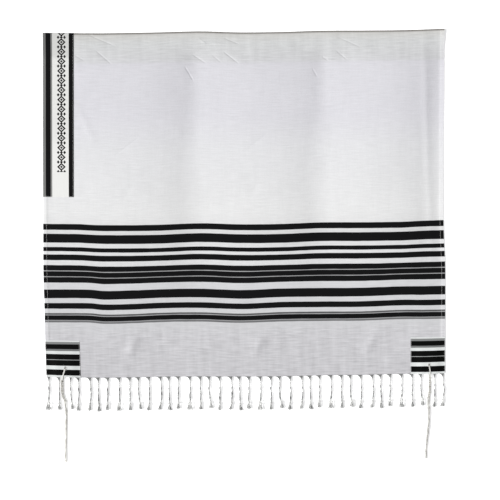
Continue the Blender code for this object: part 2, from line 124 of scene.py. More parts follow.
# The corners stand up where the cords run under each half
lifts = table(
    "u halfFlat fade",
    (0.0517, 0.019, 0.024),
    (1.0552, 0.017, 0.022),
)
liftDepth = {"full": 0.040, "fade": 0.050, "under": 0.0015, "upper": 0.0025}

# Short creases and ridges pressed into the upper half: both ends, the relief's height and spread, and
# the depth of the sharp line along it
creases = table(
    "u d toU toD height spread line",
    (0.1180, 0.0020, 0.2010, 0.0380, -0.0006, 0.0045, 0.00085),
    (0.1430, 0.0460, 0.1910, 0.0890, -0.0007, 0.0045, 0.00075),
    (0.4933, 0.0163, 0.5408, 0.0343, -0.0006, 0.0045, 0.00085),
    (0.4933, 0.0530, 0.5400, 0.0890, -0.0007, 0.0045, 0.00085),
    (0.4090, 0.0630, 0.4480, 0.0885, -0.0006, 0.0045, 0.00090),
    (0.3880, 0.0935, 0.4150, 0.1400, -0.0004, 0.0050, 0.00070),
    (0.4248, 0.0188, 0.4492, 0.0367, 0.0006, 0.0045, -0.00040),
    (0.4640, 0.0650, 0.4919, 0.0870, -0.0004, 0.0045, 0.00050),
    (0.8033, 0.0158, 0.8752, 0.0487, -0.0005, 0.0045, 0.00070),
    (0.8013, 0.0534, 0.8356, 0.0828, -0.0005, 0.0045, 0.00070),
    (0.7638, 0.0705, 0.7844, 0.0842, -0.0004, 0.0045, 0.00070),
    (0.7380, 0.1009, 0.7534, 0.1284, -0.0004, 0.0050, 0.00055),
    (0.7792, 0.0296, 0.8014, 0.0414, 0.0003, 0.0045, -0.00020),
    (0.2722, 0.2800, 0.1900, 0.3395, -0.0004, 0.0060, 0.00040),
    (0.6187, 0.2740, 0.5556, 0.3230, -0.0004, 0.0060, 0.00036),
    (0.2500, 0.4050, 0.2150, 0.4620, -0.0006, 0.0090, 0.0),
    (0.6000, 0.4020, 0.5620, 0.4560, -0.0006, 0.0090, 0.0),
    (0.0870, 0.0610, 0.1150, 0.0770, -0.0005, 0.0045, 0.00060),
    (0.0880, 0.0880, 0.1180, 0.0990, 0.0005, 0.0050, 0.0),
    (0.0950, 0.1960, 0.1440, 0.3060, 0.0007, 0.0080, 0.0),
    (0.2550, 0.8280, 0.2230, 0.8860, 0.0028, 0.0125, 0.0),
    (0.6010, 0.8280, 0.5700, 0.8860, 0.0026, 0.0120, 0.0),
    (0.9100, 0.8260, 0.8790, 0.8840, 0.0024, 0.0120, 0.0),
    (0.3300, 0.8200, 0.3000, 0.8700, -0.0006, 0.0090, 0.0),
    (1.0401, -0.1000, 1.0699, 0.7000, 0.0011, 0.0105, 0.0),
)
# Like ones on the half underneath, which lies flat
creasesBelow = table(
    "u d toU toD line",
    (0.2050, -0.0200, 0.2620, -0.0480, 0.00045),
    (0.5530, -0.0560, 0.5900, -0.0840, 0.00050),
    (0.8700, -0.0310, 0.9240, -0.0620, 0.00040),
    (0.3640, -0.3020, 0.2980, -0.3510, 0.00030),
    (0.7150, -0.8290, 0.6840, -0.8800, 0.00040),
)
creaseLine = {"half": 0.0017, "taper": 0.22, "wander": 0.0020}
creaseEnds = 0.7              # how bluntly a crease's relief ends
reliefFade = {"fold": 0.02, "hem": 0.03}
pressLine = {"d": 0.084, "height": -0.0006, "spread": 0.0040}   # where it was folded for its box

# Slow unevenness left in the cloth: how far each wave turns in a metre across and down it, in radians
unevenness = table(
    "across down turn height",
    (14.2, 6.6, 0.4, 0.00026),
    (-8.6, 19.4, 2.1, 0.00022),
    (27.4, 12.2, 4.4, 0.00012),
    (6.2, -30.6, 1.2, 0.00010),
)


def smooth(share):
    share = np.clip(share, 0.0, 1.0)
    return share * share * (3 - 2 * share)


def throughTable(rows, key, column, at):
    # a smooth curve through one column of a table
    keys = np.array([row[key] for row in rows])
    values = np.array([row[column] for row in rows])
    place = np.arange(len(keys))
    low, high = np.maximum(place - 1, 0), np.minimum(place + 1, len(keys) - 1)
    slopes = (values[high] - values[low]) / (keys[high] - keys[low])
    after = np.clip(np.searchsorted(keys, at, side="right"), 1, len(keys) - 1)
    before = after - 1
    span = keys[after] - keys[before]
    t = np.clip((at - keys[before]) / span, 0.0, 1.0)
    square, cube = t * t, t**3
    return (
        (2 * cube - 3 * square + 1) * values[before]
        + (cube - 2 * square + t) * slopes[before] * span
        + (3 * square - 2 * cube) * values[after]
        + (cube - square) * slopes[after] * span
    )


def sagAt(u, depth):
    names = list(sagDepths)
    lines = [throughTable(sagTable, "u", name, u) for name in names]
    sunk = lines[0]
    for i, name in enumerate(names[1:], 1):
        start, end = sagDepths[names[i - 1]], sagDepths[name]
        sunk = sunk + (lines[i] - lines[i - 1]) * smooth((depth - start) / (end - start))
    return sunk


def leanAt(u, depth):
    left = throughTable(leanTable, "d", "left", depth)
    right = throughTable(leanTable, "d", "right", depth)
    return left + (right - left) * u / cloth["width"]


def drifted(top, low, depth):
    # where a line is that starts at top, and has come to low by the end of the valleys' drift
    share = (depth - longFold["driftsFrom"]) / (longFold["driftsBy"] - longFold["driftsFrom"])
    return top + (low - top) * smooth(share)


def longFolds(u, depth):
    # the mean of nine places side by side, which rounds each valley
    height = np.zeros_like(u)
    reach = drifted(longFold["softTop"], longFold["softLow"], depth)
    leans = longFold["leans"]
    highest = leans ** (-1 / (leans - 1)) * (1 - 1 / leans)
    for first, last in zip(valleys, valleys[1:]):
        start, end = (drifted(valley["top"], valley["low"], depth) for valley in (first, last))
        for aside in range(-4, 5):
            share = np.clip((u + aside * reach - start) / (end - start), 0, 1)
            height += first["crest"] * (share - share**leans) / highest / 9
    fade = smooth((depth - foldsFade["start"]) / (foldsFade["full"] - foldsFade["start"]))
    fade *= 1 - smooth((depth - foldsFade["fade"]) / (foldsFade["gone"] - foldsFade["fade"]))
    return height * fade


def cornerLift(u, depth):
    up = 1 - smooth((cloth["half"] - depth - liftDepth["full"]) / liftDepth["fade"])
    sides = [1 - smooth((np.abs(u - row["u"]) - row["halfFlat"]) / row["fade"]) for row in lifts]
    return up * np.maximum(*sides)


def smallRelief(u, d):
    # the creases, the press line and the unevenness, all fading out at the fold and the hem
    height = np.zeros_like(u)
    for row in creases:
        alongU, alongD = row["toU"] - row["u"], row["toD"] - row["d"]
        length = math.hypot(alongU, alongD)
        share = ((u - row["u"]) * alongU + (d - row["d"]) * alongD) / length**2
        aside = ((u - row["u"]) * alongD - (d - row["d"]) * alongU) / length
        taper = np.sin(math.pi * np.clip(share, 0, 1)) ** creaseEnds
        height += row["height"] * taper * np.exp(-((aside / row["spread"]) ** 2))
    height += pressLine["height"] * np.exp(-(((d - pressLine["d"]) / pressLine["spread"]) ** 2))
    for row in unevenness:
        height += row["height"] * np.sin(row["across"] * u + row["down"] * d + row["turn"])
    fade = smooth(d / reliefFade["fold"]) * smooth((cloth["half"] - d) / reliefFade["hem"])
    return height * fade


def clothPlace(u, d):
    # the cloth's middle at (u, d), and the way out of the folded shawl there
    u, d = np.broadcast_arrays(np.asarray(u, float), np.asarray(d, float))
    depth = np.abs(d)
    radius = cloth["foldRadius"]
    arcHalf = radius * math.pi / 2
    low = cloth["room"] / 2
    high = low + cloth["room"] + cloth["layerGap"]
    x = u + leanAt(u, depth) - cloth["originRight"]
    foldY = cloth["originDown"] - radius - sagAt(u, depth)
    lift = cornerLift(u, depth)
    rise = (low + 2 * radius - high) * (1 - smooth((depth - arcHalf) / cloth["foldSettles"]))
    over = high + rise + longFolds(u, depth) + liftDepth["upper"] * lift + smallRelief(u, d)
    angle = d / radius
    bend = depth < arcHalf
    y = np.where(bend, foldY + radius * np.cos(angle), foldY - (depth - arcHalf))
    flat = np.where(d < 0, low + liftDepth["under"] * lift, over)
    z = np.where(bend, low + radius + radius * np.sin(angle), flat)
    outY = np.where(bend, np.cos(angle), 0.0)
    outZ = np.where(bend, np.sin(angle), np.where(d < 0, -1.0, 1.0))
    return np.stack([x, y, z], -1), np.stack([np.zeros_like(x), outY, outZ], -1)


# The holes near the corners, each with its cord; the lower half's cord comes to lie under the other
corners = table(
    "name side holeU slant swing tip join",
    ("front_left", 1, 0.0530, -0.0100, 0.0100, 0.0150, 0.0),
    ("back_left", -1, 0.0566, -0.0100, 0.0100, 0.0150, -0.0024),
    ("front_right", 1, 1.0560, 0.0036, -0.0040, -0.0112, 0.0),
    ("back_right", -1, 1.0524, 0.0036, -0.0040, -0.0112, 0.0024),
)
eyelet = {"up": 0.0245, "half": 0.0028, "ring": 0.0040, "bead": 0.0013, "turns": 26, "yarn": 0.00034}

neckband = {
    "width": 0.085,
    "half": 0.449,
    "thick": 0.0006,
    "thinShare": 0.22,        # on the half that lies flat on the floor
    "overCloth": 0.00042,
    "clear": 0.00004,         # of a lower ribbon from the floor
    "stitchIn": 0.0016,
    "motifHalf": 0.381,       # the ornament stops short of the band's end
    "motifU": 0.0512,
    "motifPitch": 0.0262,
}

patch = {"wide": 0.0945, "long": 0.0980, "thick": 0.0006, "overCloth": 0.00042, "stitchIn": 0.0014}


def divided(breaks, step):
    # the breaks, with even steps no longer than step between them
    places = [breaks[0]]
    for start, end in zip(breaks, breaks[1:]):
        span = max(abs(a - b) for a, b in zip(start, end))
        count = max(1, math.ceil(span / step - 1e-6))
        places += [tuple(a + (b - a) * i / count for a, b in zip(start, end)) for i in range(1, count + 1)]
    return places


def columnsOfCloth():
    # lines down the cloth, as their place at the fold and their place where the folds stop drifting
    width, hem, edge = cloth["width"], cloth["sideHem"], cloth["edge"]
    straight = [0.0, edge, hem, hem + edge, neckband["width"], patch["wide"]]
    straight += [width - u for u in straight if u != neckband["width"]]
    straight += [row["holeU"] + side * eyelet["half"] for row in corners for side in (-1, 1)]
    breaks = [(u, u) for u in straight]
    breaks += [(valley["top"], valley["low"]) for valley in valleys[1:3]]
    return divided(sorted(breaks), cloth["acrossStep"])


def rowsOfCloth():
    half, hole = cloth["half"], cloth["half"] - eyelet["up"]
    arcHalf = cloth["foldRadius"] * math.pi / 2
    around = [hole - eyelet["half"], hole + eyelet["half"], half - cloth["edge"], half]
    creased = cloth["creasedBy"]
    front = sorted([creased, neckband["half"], half - patch["long"]] + around)
    under = sorted([arcHalf, neckband["half"], half - patch["long"]] + around)
    nearFold = [(arcHalf,), (pressLine["d"],), (creased,)]
    upper = [row[0] for row in divided(nearFold, cloth["creasedStep"])[:-1]]
    upper += [row[0] for row in divided([(d,) for d in front], cloth["downStep"])]
    lower = [row[0] for row in divided([(d,) for d in under], cloth["underStep"])]
    arc = [arcHalf * (1 - 2 * i / cloth["arcSteps"]) for i in range(1, cloth["arcSteps"])]
    return upper[::-1] + arc + [-d for d in lower]


def addPiece(name, mesh):
    piece = bpy.data.objects.new(name, mesh)
    bpy.context.scene.collection.objects.link(piece)
    return piece


def workIn(piece):
    # works the piece's modifiers into its mesh
    bpy.context.view_layer.update()
    graph = bpy.context.evaluated_depsgraph_get()
    made = bpy.data.meshes.new_from_object(piece.evaluated_get(graph))
    old, piece.data = piece.data, made
    piece.modifiers.clear()
    bpy.data.meshes.remove(old)


def clothSheet(name, columns, rows, outOf, thick, thin, thinShare, holes=True):
    # a closed thin sheet over rows and columns of the cut, outOf metres out from the cloth's middle
    tops, lows = np.array(columns).T
    d = np.array(rows)[:, None]
    u = drifted(tops, lows, d)
    d = d + 0 * u
    middle, out = clothPlace(u, d)
    places = middle + out * outOf(d)[..., None]
    number = np.arange(u.size).reshape(u.shape)
    quads = np.stack([number[:-1, :-1], number[:-1, 1:], number[1:, 1:], number[1:, :-1]], -1)
    keep = np.ones(quads.shape[:2], bool)
    cellU, cellD = (u[:-1, :-1] + u[1:, 1:]) / 2, (d[:-1, :-1] + d[1:, 1:]) / 2
    for row in corners if holes else ():
        holeD = row["side"] * (cloth["half"] - eyelet["up"])
        keep &= (np.abs(cellU - row["holeU"]) > eyelet["half"]) | (np.abs(cellD - holeD) > eyelet["half"])
    quads = quads[keep]
    mesh = bpy.data.meshes.new(name)
    mesh.from_pydata(places.reshape(-1, 3).tolist(), [], quads.tolist())
    cutMap = mesh.uv_layers.new(name="cut")
    cutMap.data.foreach_set("uv", np.stack([u.ravel()[quads], d.ravel()[quads]], -1).ravel())
    piece = addPiece(name, mesh)
    group = piece.vertex_groups.new(name="thick")
    group.add(number[~thin(u, d)].tolist(), 1.0, "REPLACE")
    group.add(number[thin(u, d)].tolist(), 0.0, "REPLACE")
    wall = piece.modifiers.new("wall", "SOLIDIFY")
    wall.thickness = thick
    wall.offset = 0.0
    wall.vertex_group = "thick"
    wall.thickness_vertex_group = thinShare
    workIn(piece)
    piece.vertex_groups.clear()
    piece.data.shade_smooth()
    piece.data.set_sharp_from_angle(angle=math.radians(cloth["sharpOver"]))
    return piece


class Yarns:
    # gathers round tubes into one mesh, with a map of the way round and along each

    sharpOver = 60            # degrees

    def __init__(self, name):
        self.name = name
        self.points, self.quads, self.ends, self.maps, self.shades = [], [], [], [], []
        self.used = 0

    def lay(self, paths, radius, sides, flat=1.0, shade=0):
        # paths is tubes by rings by 3, radius a number or one for each ring, and shade a material's place
        paths = np.asarray(paths, float)
        if paths.ndim == 2:
            paths = paths[None]
        tubes, rings = paths.shape[:2]
        radius = np.broadcast_to(np.asarray(radius, float), (tubes, rings))
        ways = np.gradient(paths, axis=1)
        ways /= np.linalg.norm(ways, axis=-1, keepdims=True) + 1e-12
        away = np.zeros_like(paths)
        start = np.where(np.abs(ways[:, :1, 2:]) < 0.9, [0.0, 0.0, 1.0], [1.0, 0.0, 0.0])[:, 0]
        for i in range(rings):    # each ring turns no more than its path does
            start = start - ways[:, i] * np.sum(start * ways[:, i], -1, keepdims=True)
            start /= np.linalg.norm(start, axis=-1, keepdims=True) + 1e-12
            away[:, i] = start
        across = np.cross(ways, away)
        turns = math.tau * (np.arange(sides) + 0.5) / sides
        cos, sin = np.cos(turns)[:, None], np.sin(turns)[:, None] * flat
        ring = across[:, :, None] * cos + away[:, :, None] * sin
        self.points.append((paths[:, :, None] + ring * radius[..., None, None]).reshape(-1, 3))
        steps = np.linalg.norm(np.diff(paths, axis=1), axis=-1)
        length = np.concatenate([np.zeros((tubes, 1)), np.cumsum(steps, 1)], 1)
        base = self.used + np.arange(tubes)[:, None, None] * rings * sides
        a = base + np.arange(rings - 1)[:, None] * sides + np.arange(sides)
        b = base + np.arange(rings - 1)[:, None] * sides + (np.arange(sides) + 1) % sides
        self.quads.append(np.stack([a, a + sides, b + sides, b], -1).reshape(-1, 4))
        share = np.arange(sides) / sides
        near, far = length[:, :-1, None], length[:, 1:, None]
        corner = [(share, near), (share, far), (share + 1 / sides, far), (share + 1 / sides, near)]
        spots = [np.stack(np.broadcast_arrays(s + 0 * y, y + 0 * s), -1) for s, y in corner]
        self.maps.append(np.stack(spots, -2).reshape(-1, 2))
        first = (base[:, 0, 0][:, None] + np.arange(sides)).tolist()
        last = (base[:, 0, 0][:, None] + (rings - 1) * sides + np.arange(sides)[::-1]).tolist()
        self.ends += first + last
        self.shades.append((tubes * (rings - 1) * sides, len(first) * 2, shade))
        self.used += tubes * rings * sides

    def piece(self):
        mesh = bpy.data.meshes.new(self.name)
        quads = np.concatenate(self.quads)
        mesh.from_pydata(np.concatenate(self.points).tolist(), [], quads.tolist() + self.ends)
        spots = np.zeros((len(mesh.loops), 2))
        spots[: quads.size] = np.concatenate(self.maps)
        mesh.uv_layers.new(name="yarn").data.foreach_set("uv", spots.ravel())
        walls = [np.full(count, shade) for count, _, shade in self.shades]
        caps = [np.full(count, shade) for _, count, shade in self.shades]
        mesh.polygons.foreach_set("material_index", np.concatenate(walls + caps))
        mesh.shade_smooth()
        mesh.set_sharp_from_angle(angle=math.radians(self.sharpOver))
        return addPiece(self.name, mesh)


def curveThrough(points, count):
    # evenly spaced points on a smooth curve through a few
    points = np.asarray(points, float)
    ends = np.vstack([2 * points[0] - points[1], points, 2 * points[-1] - points[-2]])
    dense = []
    for a, b, c, e in zip(ends, ends[1:], ends[2:], ends[3:]):
        t = np.linspace(0, 1, 12, endpoint=False)[:, None]      # twelve steps from each to the next
        square, cube = 2 * a - 5 * b + 4 * c - e, 3 * b - a - 3 * c + e
        dense.append(0.5 * (2 * b + (c - a) * t + square * t**2 + cube * t**3))
    dense = np.vstack(dense + [points[-1:]])
    far = np.concatenate([[0], np.cumsum(np.linalg.norm(np.diff(dense, axis=0), axis=1))])
    even = np.linspace(0, far[-1], count)
    return np.stack([np.interp(even, far, dense[:, k]) for k in range(3)], -1)


def arithmetic(operation, reflected=False):
    # a method that works an operation on a wire, and on another wire or a number
    def work(self, other=0.0):
        return self.maths(operation, other, self) if reflected else self.maths(operation, self, other)

    return work


class Wire:
    # a shader socket that takes part in plain arithmetic

    def __init__(self, finish, socket):
        self.finish, self.socket = finish, socket

    def maths(self, operation, first, second=0.0):
        return self.finish.node("ShaderNodeMath", {"operation": operation}, {0: first, 1: second})

    __add__, __radd__ = arithmetic("ADD"), arithmetic("ADD", True)
    __sub__, __rsub__ = arithmetic("SUBTRACT"), arithmetic("SUBTRACT", True)
    __mul__, __rmul__ = arithmetic("MULTIPLY"), arithmetic("MULTIPLY", True)
    __truediv__, __mod__ = arithmetic("DIVIDE"), arithmetic("FLOORED_MODULO")
    __abs__ = arithmetic("ABSOLUTE")


dull = {"specular": 0.07, "sheenRoughness": 0.4}     # of every finish here


class Finish:
    # a material in the making

    def __init__(self, name):
        self.material = bpy.data.materials.new(name)
        self.material.use_nodes = True
        self.tree = self.material.node_tree
        self.shader = self.tree.nodes["Principled BSDF"]

    def node(self, kind, settings=None, sockets=None, give=0):
        made = self.tree.nodes.new(kind)
        for name, value in (settings or {}).items():
            if name == "stops":
                self.setStops(made.color_ramp, value)
            else:
                setattr(made, name, value)
        for name, value in (sockets or {}).items():
            if isinstance(value, Wire):
                self.tree.links.new(value.socket, made.inputs[name])
            else:
                made.inputs[name].default_value = value
        return Wire(self, made.outputs[give])

    def setStops(self, ramp, stops):
        while len(ramp.elements) > 1:
            ramp.elements.remove(ramp.elements[-1])
        for i, (place, colour) in enumerate(stops):
            stop = ramp.elements[0] if i == 0 else ramp.elements.new(place)
            stop.position, stop.color = place, colour

    def mapped(self, name):
        # the two coordinates of a mesh's map
        spot = self.node("ShaderNodeUVMap", {"uv_map": name})
        return [self.node("ShaderNodeSeparateXYZ", None, {0: spot}, give) for give in (0, 1)]

    def vector(self, x, y, z=0.0):
        return self.node("ShaderNodeCombineXYZ", None, {0: x, 1: y, 2: z})

    def noise(self, place, scale=1.0, detail=2.0, roughness=0.5):
        sockets = {"Vector": place, "Scale": scale, "Detail": detail, "Roughness": roughness}
        return self.node("ShaderNodeTexNoise", {"noise_dimensions": "3D"}, sockets)

    def grain(self, u, d, row):
        # noise drawn out along the threads, from one row of a table
        place = self.vector(u * row["u"], d * row["d"], row["turn"])
        return self.noise(place, detail=row["detail"])

    def rise(self, value, edge, soft):
        # 0 below the edge and 1 above it
        sockets = {"Value": value, "From Min": edge - soft / 2, "From Max": edge + soft / 2}
        return self.node("ShaderNodeMapRange", {"interpolation_type": "SMOOTHSTEP"}, sockets)

    def between(self, value, low, high, soft):
        return self.rise(value, low, soft) - self.rise(value, high, soft)

    def bands(self, value, rows, soft):
        # how dark each place is, from a table of dark bands
        parts = [self.between(value, row["from"], row["to"], soft) * row["ink"] for row in rows]
        return sum(parts[1:], parts[0])

    def sine(self, value):
        return value.maths("SINE", value)

    def dot(self, place, weights):
        settings, sockets = {"operation": "DOT_PRODUCT"}, {0: place, 1: weights}
        return self.node("ShaderNodeVectorMath", settings, sockets, "Value")

    def creaseLine(self, place, row, wander):
        # a sharp trough along one crease, in metres; place is (u, d, 1)
        alongU, alongD = row["toU"] - row["u"], row["toD"] - row["d"]
        long = math.hypot(alongU, alongD)
        alongU, alongD = alongU / long, alongD / long
        passed = row["u"] * alongU + row["d"] * alongD
        share = self.dot(place, (alongU / long, alongD / long, -passed / long))
        aside = self.dot(place, (alongD, -alongU, row["d"] * alongU - row["u"] * alongD)) + wander
        half, taper = creaseLine["half"], creaseLine["taper"]
        ends = self.between(share, taper / 2, 1 - taper / 2, taper)
        return (1 - self.rise(abs(aside), half, 2 * half)) * ends * -row["line"]

    def mixed(self, share, first, second):
        return self.node("ShaderNodeMix", {"data_type": "RGBA"}, {0: share, 6: first, 7: second}, 2)

    def shaded(self, colour, light):
        # a colour made lighter or darker by a number
        colour = colour if isinstance(colour, Wire) else colour[:3]
        grey = self.vector(light, light, light)
        return self.node("ShaderNodeVectorMath", {"operation": "MULTIPLY"}, {0: colour, 1: grey})

    def finished(self, colour, height, deep, roughness, sheen=0.0, strength=0.7):
        sockets = {"Height": height, "Distance": deep, "Strength": strength}
        for name, value in (
            ("Base Color", colour),
            ("Roughness", roughness),
            ("Normal", self.node("ShaderNodeBump", None, sockets)),
        ):
            if isinstance(value, Wire):
                self.tree.links.new(value.socket, self.shader.inputs[name])
            else:
                self.shader.inputs[name].default_value = value
        self.shader.inputs["Sheen Weight"].default_value = sheen
        self.shader.inputs["Sheen Roughness"].default_value = dull["sheenRoughness"]
        self.shader.inputs["Specular IOR Level"].default_value = dull["specular"]
        return self.material


lighting = {"level": 1.15}     # how brightly a white surface comes out, as a share of full white


def seen(red, green, blue):
    # the colour of a surface that comes out at these screen values from 0 to 255
    return tuple(((v / 255 + 0.055) / 1.055) ** 2.4 / lighting["level"] for v in (red, green, blue)) + (1.0,)


clothFinish = {
    "groundAndPaintedShade": table(          # the ground's colour by its depth below the fold, with painted shade: a dark line along the fold's rounded edge, a darker band above the press line, and a painted gradient of light that brightens down to the stripes; greyer below the stripes
        "d colour",
        (0.0000, (100, 94, 88)),
        (0.0030, (112, 106, 100)),
        (0.0048, (172, 170, 166)),
        (0.0078, (212, 211, 208)),
        (0.0300, (215, 216, 216)),
        (0.0820, (215, 215, 217)),
        (0.0880, (221, 220, 225)),
        (0.2300, (223, 222, 227)),
        (0.3200, (229, 229, 231)),
        (0.4900, (233, 233, 233)),
        (0.5200, (229, 229, 229)),
        (0.5450, (221, 221, 221)),
        (0.5950, (226, 226, 227)),
        (0.6300, (225, 225, 226)),
        (0.6900, (215, 215, 217)),
        (0.7600, (213, 213, 215)),
        (0.7950, (210, 210, 212)),
        (0.8300, (207, 206, 209)),
        (0.9390, (204, 203, 206)),
    ),
    "stripes": table(         # the black bands that are woven in near each end
        "from to ink",
        (0.5227, 0.5389, 1.0),
        (0.5499, 0.5740, 1.0),
        (0.5862, 0.5978, 1.0),
        (0.6066, 0.6223, 1.0),
        (0.6360, 0.6840, 1.0),
        (0.6508, 0.6528, -0.58),
        (0.6668, 0.6688, -0.56),
        (0.7028, 0.7266, 1.0),
        (0.7400, 0.7555, 1.0),
        (0.7676, 0.7719, 0.86),
        (0.7719, 0.7738, 0.36),
        (0.7738, 0.7863, 1.0),
        (0.7863, 0.7882, 0.42),
        (0.7882, 0.7926, 0.74),
    ),
    "black": (19, 19, 20),
    "stripesSoft": 0.0011,
    "yarn": 0.00105,          # from one yarn to the next
    "deep": 0.00028,          # the relief of the weave
    "slub": {"u": 26, "d": 620, "turn": 0.0, "detail": 3.0, "light": 0.22, "relief": 1.0},
    "warpSlub": {"u": 680, "d": 20, "turn": 5.0, "detail": 2.0, "light": 0.08, "relief": 0.35},
    "cloud": {"u": 9, "d": 9, "turn": 9.0, "detail": 3.0, "light": 0.06},
    "weft": {"u": 24, "d": 260, "turn": 13.0, "detail": 2.0, "relief": 1.2},
    "warp": {"u": 70, "d": 9, "turn": 17.0, "detail": 2.0},
    "leastLight": 0.82,
    "hem": {"light": 0.12, "relief": 0.4, "soft": 0.0008},
    "weaveRelief": 0.25,
    "coarse": {"plain": 0.13, "abovePress": 0.20, "belowStripes": 0.38, "from": 0.805, "soft": 0.03},
    "warpShare": 0.5,         # how strong the coarse warp is beside the coarse weft
    "wobble": {"slub": 0.0016, "cloud": 0.0012},         # of the stripes' edges
    "ink": {"least": 0.75, "slub": 0.55},
}


def makeClothFinish():
    facts = clothFinish
    finish = Finish("wovenCloth")
    u, d = finish.mapped("cut")
    depth = abs(d)
    slub, warpSlub, cloud, weft, warp = (
        finish.grain(u, d, facts[name]) for name in ("slub", "warpSlub", "cloud", "weft", "warp")
    )
    ramp = [(row["d"] / cloth["half"], seen(*row["colour"])) for row in facts["groundAndPaintedShade"]]
    # this ramp paints shade by depth: darkest on the fold's edge and above the press line, lighter down to
    # the stripes
    groundAndPaintedShade = finish.node("ShaderNodeValToRGB", {"stops": ramp}, {0: depth / cloth["half"]})
    width, hem = cloth["width"], cloth["sideHem"]
    onHem = 1 - finish.between(u, hem, width - hem, facts["hem"]["soft"])
    row = facts["coarse"]
    abovePress = 1 - finish.rise(depth, pressLine["d"], pressLine["spread"])
    belowStripes = finish.rise(depth, row["from"], row["soft"])
    coarse = row["plain"] + abovePress * row["abovePress"] + belowStripes * row["belowStripes"]
    mottle = facts["leastLight"] + slub * facts["slub"]["light"] + warpSlub * facts["warpSlub"]["light"]
    mottle = mottle + cloud * facts["cloud"]["light"] + onHem * facts["hem"]["light"]
    mottle = mottle + (weft - 0.5) * coarse + (warp - 0.5) * coarse * facts["warpShare"]
    wobble = (slub - 0.5) * facts["wobble"]["slub"] + (cloud - 0.5) * facts["wobble"]["cloud"]
    ink = finish.bands(depth + wobble, facts["stripes"], facts["stripesSoft"])
    black = finish.shaded(seen(*facts["black"]), facts["ink"]["least"] + slub * facts["ink"]["slub"])
    colour = finish.mixed(ink, finish.shaded(groundAndPaintedShade, mottle), black)
    turn = math.tau / facts["yarn"]
    weave = finish.sine(u * turn / 2) * finish.sine(d * turn)
    place = finish.vector(u, d, 1.0)
    wander = (cloud - 0.5) * creaseLine["wander"]
    lines = [finish.creaseLine(place, row, wander) for row in creases + creasesBelow if row["line"]]
    height = weave * facts["weaveRelief"] + onHem * facts["hem"]["relief"]
    height = height + slub * facts["slub"]["relief"] + warpSlub * facts["warpSlub"]["relief"]
    height = height + weft * facts["weft"]["relief"] + sum(lines[1:], lines[0]) / facts["deep"]
    return finish.finished(colour, height, facts["deep"], 0.9)


neckbandFinish = {
    "borders": table(         # the dark lines along the band, by their place across it
        "from to ink",
        (-0.010, 0.0079, 0.75),
        (0.0079, 0.0216, 1.0),
        (0.0216, 0.0258, 0.70),
        (0.0714, 0.0900, 1.0),
    ),
    "white": (238, 238, 235),
    "black": (8, 8, 9),
    "soft": 0.0007,
    "streak": {"u": 900, "d": 40, "turn": 2.0, "detail": 2.0},
    "fleck": {"u": 420, "d": 420, "turn": 4.0, "detail": 2.0},
    "lozenge": {"across": 0.0118, "along": 0.0112, "line": 0.46, "heart": 0.32},
    "bead": {"across": 0.0046, "along": 0.0040},
    "leaf": {"away": 0.0088, "across": 0.0038, "along": 0.0050},
    "worn": table(            # painted shade: the white is darkest next to the fold, and a little darker down to 0.30 m
        "d soft lighter",
        (0.068, 0.016, 0.14),
        (0.300, 0.060, 0.06),
    ),
    "paintedFoldShadeLeast": 0.80,
    "rib": 0.0009,
    "stitch": 0.0008,
    "deep": 0.00030,
}


def makeNeckbandFinish():
    facts = neckbandFinish
    finish = Finish("neckbandRibbon")
    u, d = finish.mapped("cut")
    depth = abs(d)
    streak, fleck = finish.grain(u, d, facts["streak"]), finish.grain(u, d, facts["fleck"])
    border = finish.bands(u + (streak - 0.5) * 0.0006, facts["borders"], facts["soft"])
    pitch = neckband["motifPitch"]
    sides = abs(u - neckband["motifU"])
    alongA = abs(((d + pitch / 2) % pitch) - pitch / 2)      # from the middle of the nearest lozenge
    alongB = abs((d % pitch) - pitch / 2)                    # and of the nearest place between two

    def diamond(away, alongIt, row):
        return away / row["across"] + alongIt / row["along"]

    lozenge = diamond(sides, alongA, facts["lozenge"])
    ring = finish.between(lozenge, 1 - facts["lozenge"]["line"], 1.0, 0.07)
    heart = 1 - finish.rise(lozenge, facts["lozenge"]["heart"], 0.08)
    bead = 1 - finish.rise(diamond(sides, alongB, facts["bead"]), 1.0, 0.16)
    leaf = 1 - finish.rise(diamond(abs(sides - facts["leaf"]["away"]), alongB, facts["leaf"]), 1.0, 0.2)
    motif = (ring + heart + bead + leaf) * (1 - finish.rise(depth, neckband["motifHalf"], 0.001))
    ink = border + motif
    stitch = finish.sine(d * (math.tau / facts["stitch"]))
    rib = finish.sine(u * (math.tau / facts["rib"]))
    # painted shade that darkens the ribbon's white near the fold
    worn = facts["paintedFoldShadeLeast"]
    for row in facts["worn"]:
        worn = worn + finish.rise(depth, row["d"], row["soft"]) * row["lighter"]
    light = (0.95 + streak * 0.06 + fleck * 0.04) * worn
    black = finish.shaded(seen(*facts["black"]), 0.7 + streak * 0.6)
    colour = finish.mixed(ink, finish.shaded(seen(*facts["white"]), light), black)
    height = rib * 0.16 + streak * 0.35 + motif * (0.9 + stitch * 0.25) + border * 0.25
    return finish.finished(colour, height, facts["deep"], 0.72 - ink * 0.1)


patchFinish = {
    "bars": table(            # by their distance from the patch's upper edge
        "from to ink",
        (0.0033, 0.0096, 0.68),
        (0.0096, 0.0224, 1.0),
        (0.0224, 0.0275, 0.74),
        (0.0357, 0.0501, 1.0),
        (0.0501, 0.0514, 0.40),
        (0.0514, 0.0665, 1.0),
        (0.0769, 0.0925, 1.0),
    ),
    "white": (229, 232, 231),
    "black": (4, 5, 4),
    "soft": 0.0008,
    "streak": {"u": 34, "d": 900, "turn": 3.0, "detail": 2.0},
    "rib": 0.0009,
    "deep": 0.00028,
}


